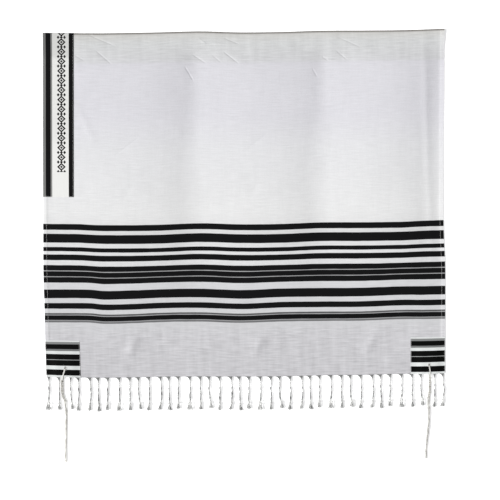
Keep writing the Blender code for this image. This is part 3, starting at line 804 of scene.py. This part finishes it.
def makePatchFinish():
    facts = patchFinish
    finish = Finish("patchRibbon")
    u, d = finish.mapped("cut")
    down = abs(d) - (cloth["half"] - patch["long"])
    streak = finish.grain(u, d, facts["streak"])
    ink = finish.bands(down + (streak - 0.5) * 0.0008, facts["bars"], facts["soft"])
    rib = finish.sine(d * (math.tau / facts["rib"]))
    black = finish.shaded(seen(*facts["black"]), 0.6 + streak * 0.8)
    colour = finish.mixed(ink, finish.shaded(seen(*facts["white"]), 0.94 + streak * 0.10), black)
    height = rib * 0.2 + streak * 0.6 + ink * 0.3
    return finish.finished(colour, height, facts["deep"], 0.72 - ink * 0.08)


# Spun yarns: fine fibres wind round each, and a darker colour lies along each in random patches, which in
# the fringe yarn is painted shade
yarnFinishes = table(
    "key name colour dark twist deep",
    ("fringe", "fringeYarn", (252, 252, 250), (150, 151, 150), 0.0016, 0.00014),
    # painted shade: a grey yarn for the tassels' roots, their cores and half of each tuft
    ("root", "fringeRoot", (150, 151, 150), (96, 97, 96), 0.0016, 0.00014),
    ("woolLeft", "tzitzitWool", (254, 253, 248), (240, 238, 231), 0.0012, 0.00010),
    # painted shade: the right-hand cords' wool is greyer than the left-hand ones'
    ("woolRight", "tzitzitWoolWorn", (223, 222, 218), (202, 201, 197), 0.0012, 0.00010),
    # painted shade: a grey yarn for the windings and knots of the corner cords
    ("wound", "tzitzitWound", (226, 224, 217), (150, 148, 143), 0.0012, 0.00010),
    # painted shade: a dark core that shows between the windings
    ("core", "tzitzitCore", (128, 126, 120), (92, 90, 86), 0.0012, 0.00010),
    ("thread", "sewingThread", (238, 238, 236), (216, 216, 214), 0.0008, 0.00008),
)
yarnGrain = {
    "fuzz": {"u": 14, "d": 900, "turn": 1.0, "detail": 2.0},
    "dark": {"u": 1, "d": 110, "turn": 7.0, "detail": 1.0},
    "darkOver": 0.56,
    "darkSoft": 0.10,
    "fibres": 3,
}


def makeYarnFinish(row):
    finish = Finish(row["name"])
    turn, length = finish.mapped("yarn")
    fibre = finish.sine(turn * (math.tau * yarnGrain["fibres"]) + length * (math.tau / row["twist"]))
    fuzz, dark = (finish.grain(turn, length, yarnGrain[name]) for name in ("fuzz", "dark"))
    share = finish.rise(dark, yarnGrain["darkOver"], yarnGrain["darkSoft"])
    shade = finish.mixed(share, seen(*row["colour"]), seen(*row["dark"]))
    height = fibre * 0.5 + fuzz * 0.6
    return finish.finished(shade, height, row["deep"], 0.85, sheen=0.1, strength=0.8)


# The fringe: one run of tassels, with the step to the next and how each one hangs
fringe = {
    "count": 40,
    "first": 0.0065,
    "rootLeft": 0.0125,       # the threads of each tassel slant down to its right
    "rootRight": 0.0045,
    "rootLeast": 0.0035,
    "rootsApart": 0.0030,
    "cordsHalf": 0.0116,
    "strip": 0.0033,
    "length": 0.0865,
    "tipTurns": 0.40,
    "neck": 0.075,
    "knot": 0.79,
    "floor": 0.0004,
    "plyRadius": 0.00078,
    "plyAside": 0.00104,
    "coreRadius": 0.00090,
    "plyUp": 0.00066,
    "plyTurn": 0.0088,
    "intoHem": 0.0012,        # its threads start inside the cloth
    "fan": {"threads": 14, "gather": 1.2, "up": 0.0004, "radius": 0.00060, "thins": 0.00014},
    "knotYarn": {"wide": 0.0062, "high": 0.0016, "radius": 0.00098, "heart": 0.0016, "half": 0.03},
    "tuft": {"threads": 18, "least": 0.0010, "opens": 0.0042, "radius": 0.00046, "thins": 0.00012},
}
# How a tassel strays to each side: a slow and a quick wave, other ones for each tassel
strays = {"by": 0.00075, "slow": 9, "varies": 3, "quick": 21, "quickShare": 0.5, "from": 0.3, "more": 0.4}
fringeRun = table(
    "step bend tip backTip longer",
    (0.0290, 0.0005, 0.0028, -0.0040, 0.0020),
    (0.0245, 0.0000, 0.0006, 0.0012, 0.0010),
    (0.0288, -0.0006, 0.0068, 0.0040, -0.0020),
    (0.0318, 0.0010, -0.0016, -0.0004, 0.0025),
    (0.0233, 0.0028, -0.0022, -0.0010, 0.0012),
    (0.0269, 0.0002, 0.0010, 0.0034, 0.0036),
    (0.0313, -0.0012, -0.0004, -0.0020, -0.0010),
)
# How thick half a tassel is along its length, where it lies on the floor or on another tassel
tasselThick = table("share half", (0.075, 0.0015), (0.74, 0.0015), (0.79, 0.0019), (1.00, 0.0013))


def tasselRoots():
    # where each tassel fans out from the hem, clear of the next and of the corner cords
    rows = [fringeRun[i % len(fringeRun)] for i in range(fringe["count"])]
    steps = np.array([row["step"] for row in rows[:-1]])
    reach = cloth["width"] - 2 * fringe["first"]
    places = fringe["first"] + np.concatenate([[0], np.cumsum(steps)]) * reach / steps.sum()
    least = fringe["cordsHalf"] + fringe["rootLeast"]
    for cords in lifts:
        away = places - cords["u"]
        places = np.where(np.abs(away) < least, cords["u"] + np.copysign(least, away), places)
    right = np.minimum(places + fringe["rootRight"], cloth["width"])
    left = np.maximum(places - fringe["rootLeft"], np.append(0.0, right[:-1] + fringe["rootsApart"]))
    for cords in lifts:
        left = np.where(places > cords["u"], np.maximum(left, cords["u"] + fringe["cordsHalf"]), left)
        right = np.where(places < cords["u"], np.minimum(right, cords["u"] - fringe["cordsHalf"]), right)
    return places, left, right, rows


def tasselMiddles(side, places, rows, shares):
    # where the tassels' middles run, from the hem at 0 to their cut ends at 1
    hem, _ = clothPlace(places, side * cloth["half"] * np.ones_like(places))
    tips = np.array([row["tip" if side > 0 else "backTip"] for row in rows])[:, None]
    bends = np.array([row["bend"] for row in rows])[:, None]
    lengths = fringe["length"] + np.array([row["longer"] for row in rows])[:, None]
    shares = np.asarray(shares, float)
    turned = smooth((shares - fringe["tipTurns"]) / (1 - fringe["tipTurns"]))
    x = hem[:, :1] + bends * np.sin(math.pi * np.clip(shares, 0, 1)) + tips * turned
    turn = places[:, None] * 997 + side
    waves = np.sin(shares * (strays["slow"] + strays["varies"] * np.sin(turn)) + turn)
    waves = waves + strays["quickShare"] * np.sin(shares * strays["quick"] + 2.3 * turn)
    stray = strays["by"] * waves * smooth(shares / strays["from"])
    x = x + stray * (1 + strays["more"] * np.sin(3.1 * turn))
    y = hem[:, 1:2] - fringe["strip"] - shares * lengths
    half = np.interp(shares, *([row[name] for row in tasselThick] for name in ("share", "half")))
    low = fringe["floor"] + half if side < 0 else 2 * fringe["floor"] + 3 * half
    z = hem[:, 2:] + (low - hem[:, 2:]) * smooth(shares / fringe["neck"])
    return np.stack(np.broadcast_arrays(x, y, z), -1)


def knotPath(middles, width, high, turn):
    # an overhand knot seen from above, as the closed line of a flat trefoil, a little past its start
    t = np.linspace(0, math.tau * 1.02, 40)
    loop = np.stack([np.sin(t) + 2 * np.sin(2 * t), np.cos(t) - 2 * np.cos(2 * t), -np.sin(3 * t)], -1)
    cos, sin = np.cos(turn), np.sin(turn)
    x = (loop[:, 0] * cos - loop[:, 1] * sin) * width / 6
    y = (loop[:, 0] * sin + loop[:, 1] * cos) * width / 6
    z = loop[:, 2] * high / 2 + 0 * x
    return middles[:, None, :] + np.stack([x, y, z], -1)


def layFan(yarns, side, left, right, neck, chance):
    # the threads that come out of the hem and gather into each tassel
    facts = fringe["fan"]
    shares = np.linspace(0, 1, 7)
    pull = (1 - (1 - shares) ** 2.2)[None, :, None]
    fall = (shares**1.25)[None, :, None]
    for i in range(facts["threads"]):
        across = left + (right - left) * (i + 0.5) / facts["threads"]
        start, _ = clothPlace(across, side * cloth["half"] * np.ones(len(left)))
        start[:, 1] += fringe["intoHem"]
        aside = (i + 0.5) / facts["threads"] * 2 - 1
        end = neck + np.array([aside * facts["gather"] * fringe["plyAside"], -0.0010, 0.0])
        end[:, 2] += chance.uniform(-facts["up"], facts["up"], len(left))
        path = start[:, None] + (end - start)[:, None] * np.concatenate([pull, fall, fall], -1)
        path[..., 2] += facts["up"] * np.sin(math.pi * shares)
        # the fan threads take the grey root finish, painted shade below the hem
        yarns.lay(path, facts["radius"] - facts["thins"] * shares, 4, shade=1)


def layPlies(yarns, middles, chance):
    # two plies twisted round each other, with a dark core between them, painted shade that shows in the gaps
    share = np.linspace(fringe["neck"] - 0.03, fringe["knot"], 62)
    middle = middles(share)
    count = len(middle)
    phase = chance.uniform(0, math.tau, count)[:, None]
    turns = fringe["length"] / fringe["plyTurn"] * chance.uniform(0.9, 1.12, count)[:, None]
    for ply in (0, 1):
        angle = phase + math.pi * ply + math.tau * turns * share
        path = middle.copy()
        path[..., 0] += fringe["plyAside"] * np.cos(angle)
        path[..., 2] += fringe["plyUp"] * np.sin(angle)
        yarns.lay(path, fringe["plyRadius"], 7, flat=0.9)
    yarns.lay(middle[:, ::3], fringe["coreRadius"], 4, shade=1)


def layKnots(yarns, middles, chance):
    facts, knot = fringe["knotYarn"], fringe["knot"]
    spots = middles([knot])[:, 0]
    turns = chance.uniform(0, math.tau, (len(spots), 1))
    yarns.lay(knotPath(spots, facts["wide"], facts["high"], turns), facts["radius"], 6)
    heart = middles(knot + np.linspace(-facts["half"], facts["half"], 5))
    yarns.lay(heart, facts["heart"], 7, flat=0.9)


def layTufts(yarns, middles, chance):
    # the cut ends below each knot, which splay apart
    facts = fringe["tuft"]
    share = np.linspace(fringe["knot"] + 0.005, 1.0, 8)
    middle = middles(share)
    count = len(middle)
    opened = (share - share[0]) / (share[-1] - share[0])
    for i in range(facts["threads"]):
        aside = (i + 0.5) / facts["threads"] * 2 - 1
        wide = (facts["least"] + facts["opens"] * opened**1.3)[None, :]
        splay = aside * wide * chance.uniform(0.8, 1.15, count)[:, None]
        up = (chance.uniform(-0.8, 0.8, count)[:, None]) * (0.0008 + 0.0001 * opened)
        sway = chance.normal(0, 0.0005, count)[:, None] * np.sin(math.pi * opened * 1.5)
        path = middle.copy()
        path[..., 0] += splay + sway
        path[..., 2] += up
        shorter = chance.uniform(0, 0.10, count)[:, None] * opened * (1 - fringe["knot"]) * fringe["length"]
        path[..., 1] += shorter + 0.0016 * abs(aside) ** 2 * opened
        # every second tuft thread takes the grey root finish, painted shade among the tuft
        yarns.lay(path, facts["radius"] - facts["thins"] * opened, 4, shade=i % 2)


def makeFringe(name, side):
    # every tassel of one hem: threads that gather, two plies twisted together, a knot and a tuft
    chance = np.random.default_rng(11 if side > 0 else 12)
    places, left, right, rows = tasselRoots()
    yarns = Yarns(name)

    def middles(shares):
        return tasselMiddles(side, places, rows, shares)

    layFan(yarns, side, left, right, middles([fringe["neck"]])[:, 0], chance)
    layPlies(yarns, middles, chance)
    layKnots(yarns, middles, chance)
    layTufts(yarns, middles, chance)
    return yarns.piece()


# The corner tassels: four strings doubled through the hole, knotted and wound
tzitzit = {
    "strings": 4,
    "string": 0.00048,
    "stringsApart": 0.00088,
    "stringWave": 0.0004,
    "clear": 0.0001,          # between the cloth and the strings under it
    "loopEnd": 0.0085,
    "woundLength": 0.058,
    "coil": 0.00122,
    "coilString": 0.00042,
    "core": 0.00098,
    "knotRadius": 0.0024,
    "knotHalf": 0.045,        # shares of the wound length: half a knot, and the gap beside its middle
    "knotGap": 0.022,
    "knotYarn": {"wide": 0.0038, "high": 0.0022, "radius": 0.00062, "half": 0.012},
    "windings": [7, 8, 11, 13],
    "freeLength": 0.1686,
    "thread": 0.00042,
    "threadThins": 0.25,
    "pitch": 0.00106,
    "spread": 0.28,
    "settle": 0.14,
    "join": 0.30,
    "strays": 0.0022,
    "wiggle": 0.00035,
}


def cordStart(corner):
    # the hole's middle, the heights of the runs over and under the cloth, and the first knot
    d = corner["side"] * (cloth["half"] - eyelet["up"])
    hole = clothPlace(corner["holeU"], d)[0]
    thick = cloth["thick"] / 2
    over = hole[2] + thick + tzitzit["string"]
    if corner["side"] > 0:
        over += patch["overCloth"] + patch["thick"]
    under = hole[2] - thick - tzitzit["string"] - tzitzit["clear"]
    knotZ = max((over + under) / 2, fringe["floor"] + tzitzit["knotRadius"])
    hem = hole[1] - eyelet["up"]
    start = np.array([hole[0] + corner["slant"], hem - tzitzit["loopEnd"], knotZ])
    return hole, over, under, hem, start


def woundMiddle(corner, start, share):
    rest = fringe["floor"] + tzitzit["knotRadius"]
    share = np.asarray(share, float)
    x = start[0] + corner["swing"] * share**5
    y = start[1] - tzitzit["woundLength"] * share
    z = start[2] + (rest - start[2]) * smooth(share / 0.5)
    return np.stack([x, y, z], -1)


def layLoops(yarns, corner, order):
    # the strings' way from the first knot over the hem, through the hole and back under the cloth
    facts = tzitzit
    hole, over, under, hem, start = cordStart(corner)
    reach = eyelet["up"] + facts["loopEnd"]

    def run(z):
        # from the knot to the cloth and along it at height z, with how far apart the strings are
        return [
            (hem - facts["loopEnd"], start[2], 0.5),
            (hem - 0.0060, z * 0.6 + start[2] * 0.4, 0.8),
            (hem - 0.0015, z, 1.0),
            (hem + 0.0080, z, 1.0),
        ]

    through = [
        (hole[1] - 0.0050, over, 0.95),
        (hole[1] - 0.0022, over + 0.0001, 0.85),
        (hole[1] - 0.0004, (over * 2 + under) / 3, 0.8),
        (hole[1] - 0.0005, (over + under * 2) / 3, 0.8),
        (hole[1] - 0.0024, under, 0.85),
    ]
    for i in range(facts["strings"]):
        aside = (i - (facts["strings"] - 1) / 2) * facts["stringsApart"]
        wave = facts["stringWave"] * math.sin(2.1 * i + order)
        points = []
        for y, z, spread in run(over) + through + run(under)[::-1]:
            slide = corner["slant"] * (hole[1] - y) / reach
            points.append((hole[0] + slide + aside * spread + wave * math.sin(300 * (y - hem)), y, z))
        yarns.lay(curveThrough(points, 60), facts["string"], 6)


def layWound(yarns, corner, start):
    # the core, the windings round it and the double knots between them; the windings and knots take a grey
    # yarn, painted shade
    facts, knot = tzitzit, tzitzit["knotYarn"]
    groups = len(facts["windings"])
    knotsAt = [facts["knotHalf"] + (1 - 2 * facts["knotHalf"]) * k / groups for k in range(groups + 1)]
    # the core takes the dark finish, painted shade between the windings
    yarns.lay(woundMiddle(corner, start, np.linspace(0, 1, 24)), facts["core"], 8, shade=1)
    for turns, low, high in zip(facts["windings"], knotsAt, knotsAt[1:]):
        share = np.linspace(low + facts["knotGap"], high - facts["knotGap"], turns * 12 + 1)
        angle = math.tau * turns * (share - share[0]) / (share[-1] - share[0])
        path = woundMiddle(corner, start, share)
        path[:, 0] += facts["coil"] * np.cos(angle)
        path[:, 2] += facts["coil"] * np.sin(angle)
        yarns.lay(path, facts["coilString"], 6, shade=2)
    for k, share in enumerate(knotsAt):
        spots = woundMiddle(corner, start, np.array([share - knot["half"], share + knot["half"]]))
        loops = knotPath(spots, knot["wide"], knot["high"], np.array([[0.3 + k], [1.4 + 2 * k]]))
        yarns.lay(loops, knot["radius"], 6, shade=2)


def layFreeEnds(yarns, corner, start, chance):
    # the eight ends, which lie on the floor, or on those of the corner below
    facts = tzitzit
    share = np.linspace(0, 1, 46)
    root = woundMiddle(corner, start, 0.95)
    layer = 1 if corner["side"] > 0 else 0
    drift = (corner["tip"] - corner["swing"]) * share + facts["strays"] * np.sin(math.pi * share * 1.6)
    drift += corner["join"] * smooth((share - facts["settle"]) / facts["join"])
    wide = (facts["pitch"] * 1.55 + 0.0001) * (1 + facts["spread"] * smooth(share))
    for i in range(2 * facts["strings"]):
        length = facts["freeLength"] + chance.uniform(-0.005, 0.004)
        turn = math.tau * (i / (2 * facts["strings"]) + chance.uniform(0.5, 1.1) * share)
        wiggle = facts["wiggle"] * np.sin(share * chance.uniform(9, 15) + chance.uniform(0, 6))
        x = root[0] + drift + wide * np.cos(turn) + wiggle
        y = root[1] - length * share
        settled = fringe["floor"] + facts["pitch"] * (1 + 2 * layer) + 0.00062 * np.sin(turn)
        high = root[2] + 0.0009 * np.sin(turn)
        z = high + (settled - high) * smooth(share / facts["settle"])
        thin = facts["thread"] * (1 - facts["threadThins"] * share**6)
        yarns.lay(np.stack([x, y, z], -1), thin, 6)


def makeTzitzit(corner, order):
    yarns = Yarns("tzitzit_" + corner["name"])
    start = cordStart(corner)[-1]
    layLoops(yarns, corner, order)
    layWound(yarns, corner, start)
    layFreeEnds(yarns, corner, start, np.random.default_rng(30 + order))
    return yarns.piece()


stitch = {"pitch": 0.0032, "hemPitch": 0.0036, "fromHem": 0.0012, "share": 0.74, "radius": 0.00026}


def stitchRow(yarns, start, end, outBy, pitch=stitch["pitch"]):
    # short stitches along a straight line of the cut, each dipping into the cloth at its ends
    start, end = np.array(start, float), np.array(end, float)
    count = max(1, int(np.linalg.norm(end - start) / pitch))
    t = np.linspace(-0.5, 0.5, 5)
    spots = (np.arange(count)[:, None] + 0.5 + t * stitch["share"]) / count
    place = start + (end - start) * spots[..., None]
    middle, out = clothPlace(place[..., 0], place[..., 1])
    rise = outBy + stitch["radius"] * (1.1 * np.cos(math.pi * t) - 0.45)
    yarns.lay(middle + out * rise[None, :, None], stitch["radius"], 4, flat=0.8)


def makeEyelet(yarns, corner, outBy):
    # a ring of close stitches worked round the hole
    turns, yarn = eyelet["turns"], eyelet["yarn"]
    t = np.linspace(0, math.tau, turns * 8 + 1)
    d = corner["side"] * (cloth["half"] - eyelet["up"])
    swing = eyelet["ring"] + eyelet["bead"] * np.cos(turns * t)
    middle, out = clothPlace(corner["holeU"] + swing * np.cos(t), d + swing * np.sin(t))
    lift = outBy + yarn * np.sin(turns * t)
    yarns.lay(middle + out * lift[:, None], yarn, 5)


def dress(piece, materials, slot, *nodes):
    shades = [face.material_index for face in piece.data.polygons]
    piece.data.materials.clear()
    for material in materials if isinstance(materials, list) else [materials]:
        piece.data.materials.append(material)
    piece.data.polygons.foreach_set("material_index", shades)
    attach(piece, "root")
    if nodes:
        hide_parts(*nodes)
    return piece


finishes = {"cloth": makeClothFinish(), "neckband": makeNeckbandFinish(), "patch": makePatchFinish()}
finishes |= {row["key"]: makeYarnFinish(row) for row in yarnFinishes}
print("finishes made")

columns, rows = columnsOfCloth(), rowsOfCloth()
width, half, snap = cloth["width"], cloth["half"], cloth["snap"]


def makeShawl():
    low = cloth["sideHem"] + cloth["hemSlack"]
    high = width - low
    return clothSheet(
        "shawlCloth", columns, rows, lambda d: 0 * d, cloth["thick"],
        lambda u, d: (u > low) & (u < high), cloth["plainShare"],
    )


def makeRibbon(name, facts, ribbonColumns, ribbonRows, holes):
    # a ribbon on the cloth, thinner and let into it on the half that rests on the floor
    thick, thinShare = facts["thick"], neckband["thinShare"]
    under = cloth["room"] / 2 - thick * thinShare / 2 - neckband["clear"]
    top = facts["overCloth"] + thick / 2
    return clothSheet(
        name, ribbonColumns, ribbonRows, lambda d: np.where(d < 0, under, top), thick,
        lambda u, d: d < 0, thinShare, holes=holes,
    )


def makeNeckband():
    bandColumns = [c for c in columns if c[0] <= neckband["width"] + snap]
    bandRows = [d for d in rows if abs(d) <= neckband["half"] + snap]
    return makeRibbon("neckbandRibbon", neckband, bandColumns, bandRows, False)


def makePatches():
    # each patch with the node that it stands for, if it has one
    sides = {
        "left": [c for c in columns if c[0] <= patch["wide"] + snap],
        "right": [c for c in columns if c[0] >= width - patch["wide"] - snap],
    }
    layers = {
        "upper": [d for d in rows if d >= half - patch["long"] - snap],
        "lower": [d for d in rows if d <= patch["long"] - half + snap],
    }
    for side, patchColumns in sides.items():
        for layer, patchRows in layers.items():
            name = "cornerPatch_" + layer + "_" + side
            nodes = ["corner_patch_" + side] if layer == "upper" else []
            yield makeRibbon(name, patch, patchColumns, patchRows, True), nodes


def makeSewing():
    sewing = Yarns("sewing")
    hem = cloth["sideHem"]
    onPatch = patch["overCloth"] + patch["thick"]
    onBand = neckband["overCloth"] + neckband["thick"]
    for u in (hem - stitch["fromHem"], width - hem + stitch["fromHem"]):
        top = neckband["half"] + 0.004 if u < neckband["width"] else 0.006
        bottom = half - patch["long"] - 0.001
        stitchRow(sewing, (u, top), (u, bottom), cloth["thick"] * 0.5, stitch["hemPitch"])
    inset = neckband["stitchIn"]
    end = neckband["half"] - inset
    for u in (inset, neckband["width"] - inset):
        stitchRow(sewing, (u, 0.005), (u, end), onBand)
    stitchRow(sewing, (inset, end), (neckband["width"] - inset, end), onBand)
    inset = patch["stitchIn"]
    for low, high in ((inset, patch["wide"] - inset), (width - patch["wide"] + inset, width - inset)):
        top, bottom = half - patch["long"] + inset, half - inset
        around = [(low, top), (high, top), (high, bottom), (low, bottom), (low, top)]
        for a, b in zip(around, around[1:]):
            stitchRow(sewing, a, b, onPatch)
    for corner in corners:
        makeEyelet(sewing, corner, onPatch if corner["side"] > 0 else 0.0)
    return sewing.piece()


shawl = dress(makeShawl(), finishes["cloth"], "cloth", "cloth")
print("cloth laid:", len(shawl.data.polygons), "faces")

ribbon = dress(makeNeckband(), finishes["neckband"], "neckband", "neckband")
patches = [dress(made, finishes["patch"], "patch", *nodes) for made, nodes in makePatches()]
print("neckband and corner patches laid")

for name, side, node in (("fringeUpper", 1, "fringe_front"), ("fringeLower", -1, "fringe_back")):
    dress(makeFringe(name, side), [finishes["fringe"], finishes["root"]], "fringe", node)

for order, corner in enumerate(corners):
    # the right-hand cords take the greyer wool, painted shade
    wool = finishes["woolLeft" if corner["holeU"] < width / 2 else "woolRight"]
    made = makeTzitzit(corner, order)
    shades = [wool, finishes["core"], finishes["wound"]]
    dress(made, shades, "tzitzit", "tzitzit_" + corner["name"])

threads = dress(makeSewing(), finishes["thread"], "cloth")
print("sewing done:", len(threads.data.polygons), "faces")

# The stage: a pale floor, soft light from the left and above, and a camera straight over the shawl
studio = {
    "pixel": 0.002743,         # a pixel of the photograph, in metres on the cloth
    "middlePixel": 250,
    "side": 500,
    "leftPixel": 43.4,         # where the left selvedge and the fold start
    "foldPixel": 33.5,
    "lens": 90,
    "floorSize": 16,
    "floorGlow": 0.42,         # a lit table, so that small shadows on it stay pale
    "keyPower": 4.4,
    "keyAngle": 26,
    "keyFrom": (-2.6, -0.3, 1.85),
    "fillPower": 22,
    "fillFrom": (0.6, -0.4, 4.6),
    "fillSize": 3.2,
    "worldPower": 0.25,
    "worldColour": (0.98, 0.985, 1.0, 1.0),
    "clothTop": 0.004,         # the height that the pixel size holds for
}


def makeStage():
    facts = studio
    side = facts["floorSize"] / 2
    mesh = bpy.data.meshes.new("floor")
    around = [(x * side, y * side, 0) for x, y in ((-1, -1), (1, -1), (1, 1), (-1, 1))]
    mesh.from_pydata(around, [], [(0, 1, 2, 3)])
    floor = addPiece("floor", mesh)
    finish = Finish("paleFloor")
    place = finish.node("ShaderNodeTexCoord", None, None, 3)
    grain = finish.noise(place, scale=60.0, detail=2.0)
    colour = finish.shaded((0.93, 0.93, 0.93, 1.0), 0.99 + grain * 0.02)
    finish.shader.inputs["Emission Color"].default_value = (1, 1, 1, 1)
    finish.shader.inputs["Emission Strength"].default_value = facts["floorGlow"]
    floor.data.materials.append(finish.finished(colour, grain, 0.00002, 0.9, strength=1.0))

    sun = bpy.data.lights.new("key", "SUN")
    sun.energy, sun.angle = facts["keyPower"], math.radians(facts["keyAngle"])
    fill = bpy.data.lights.new("fill", "AREA")
    fill.energy, fill.size = facts["fillPower"], facts["fillSize"]
    for light, place in ((sun, facts["keyFrom"]), (fill, facts["fillFrom"])):
        lamp = bpy.data.objects.new(light.name, light)
        lamp.location = place
        lamp.rotation_euler = (-Vector(place)).to_track_quat("-Z", "Y").to_euler()
        lamp.visible_camera = False
        bpy.context.scene.collection.objects.link(lamp)

    world = bpy.data.worlds.new("studio")
    world.use_nodes = True
    background = world.node_tree.nodes["Background"].inputs
    background[0].default_value, background[1].default_value = facts["worldColour"], facts["worldPower"]
    bpy.context.scene.world = world
    bpy.context.scene.view_settings.view_transform = "Standard"


def makeCamera():
    facts = studio
    lens = bpy.data.cameras.new("overhead")
    lens.type, lens.lens, lens.sensor_width = "PERSP", facts["lens"], 36
    camera = bpy.data.objects.new("overhead", lens)
    right, down = (facts["middlePixel"] - facts[name] for name in ("leftPixel", "foldPixel"))
    x = right * facts["pixel"] - cloth["originRight"]
    y = cloth["originDown"] + cloth["room"] / 2 - down * facts["pixel"]
    away = facts["side"] * facts["pixel"] * facts["lens"] / lens.sensor_width
    camera.location = (x, y, away + facts["clothTop"])
    camera.rotation_euler = (0, 0, 0)
    bpy.context.scene.collection.objects.link(camera)
    bpy.context.scene.camera = camera


makeStage()
makeCamera()
print("stage and camera set")
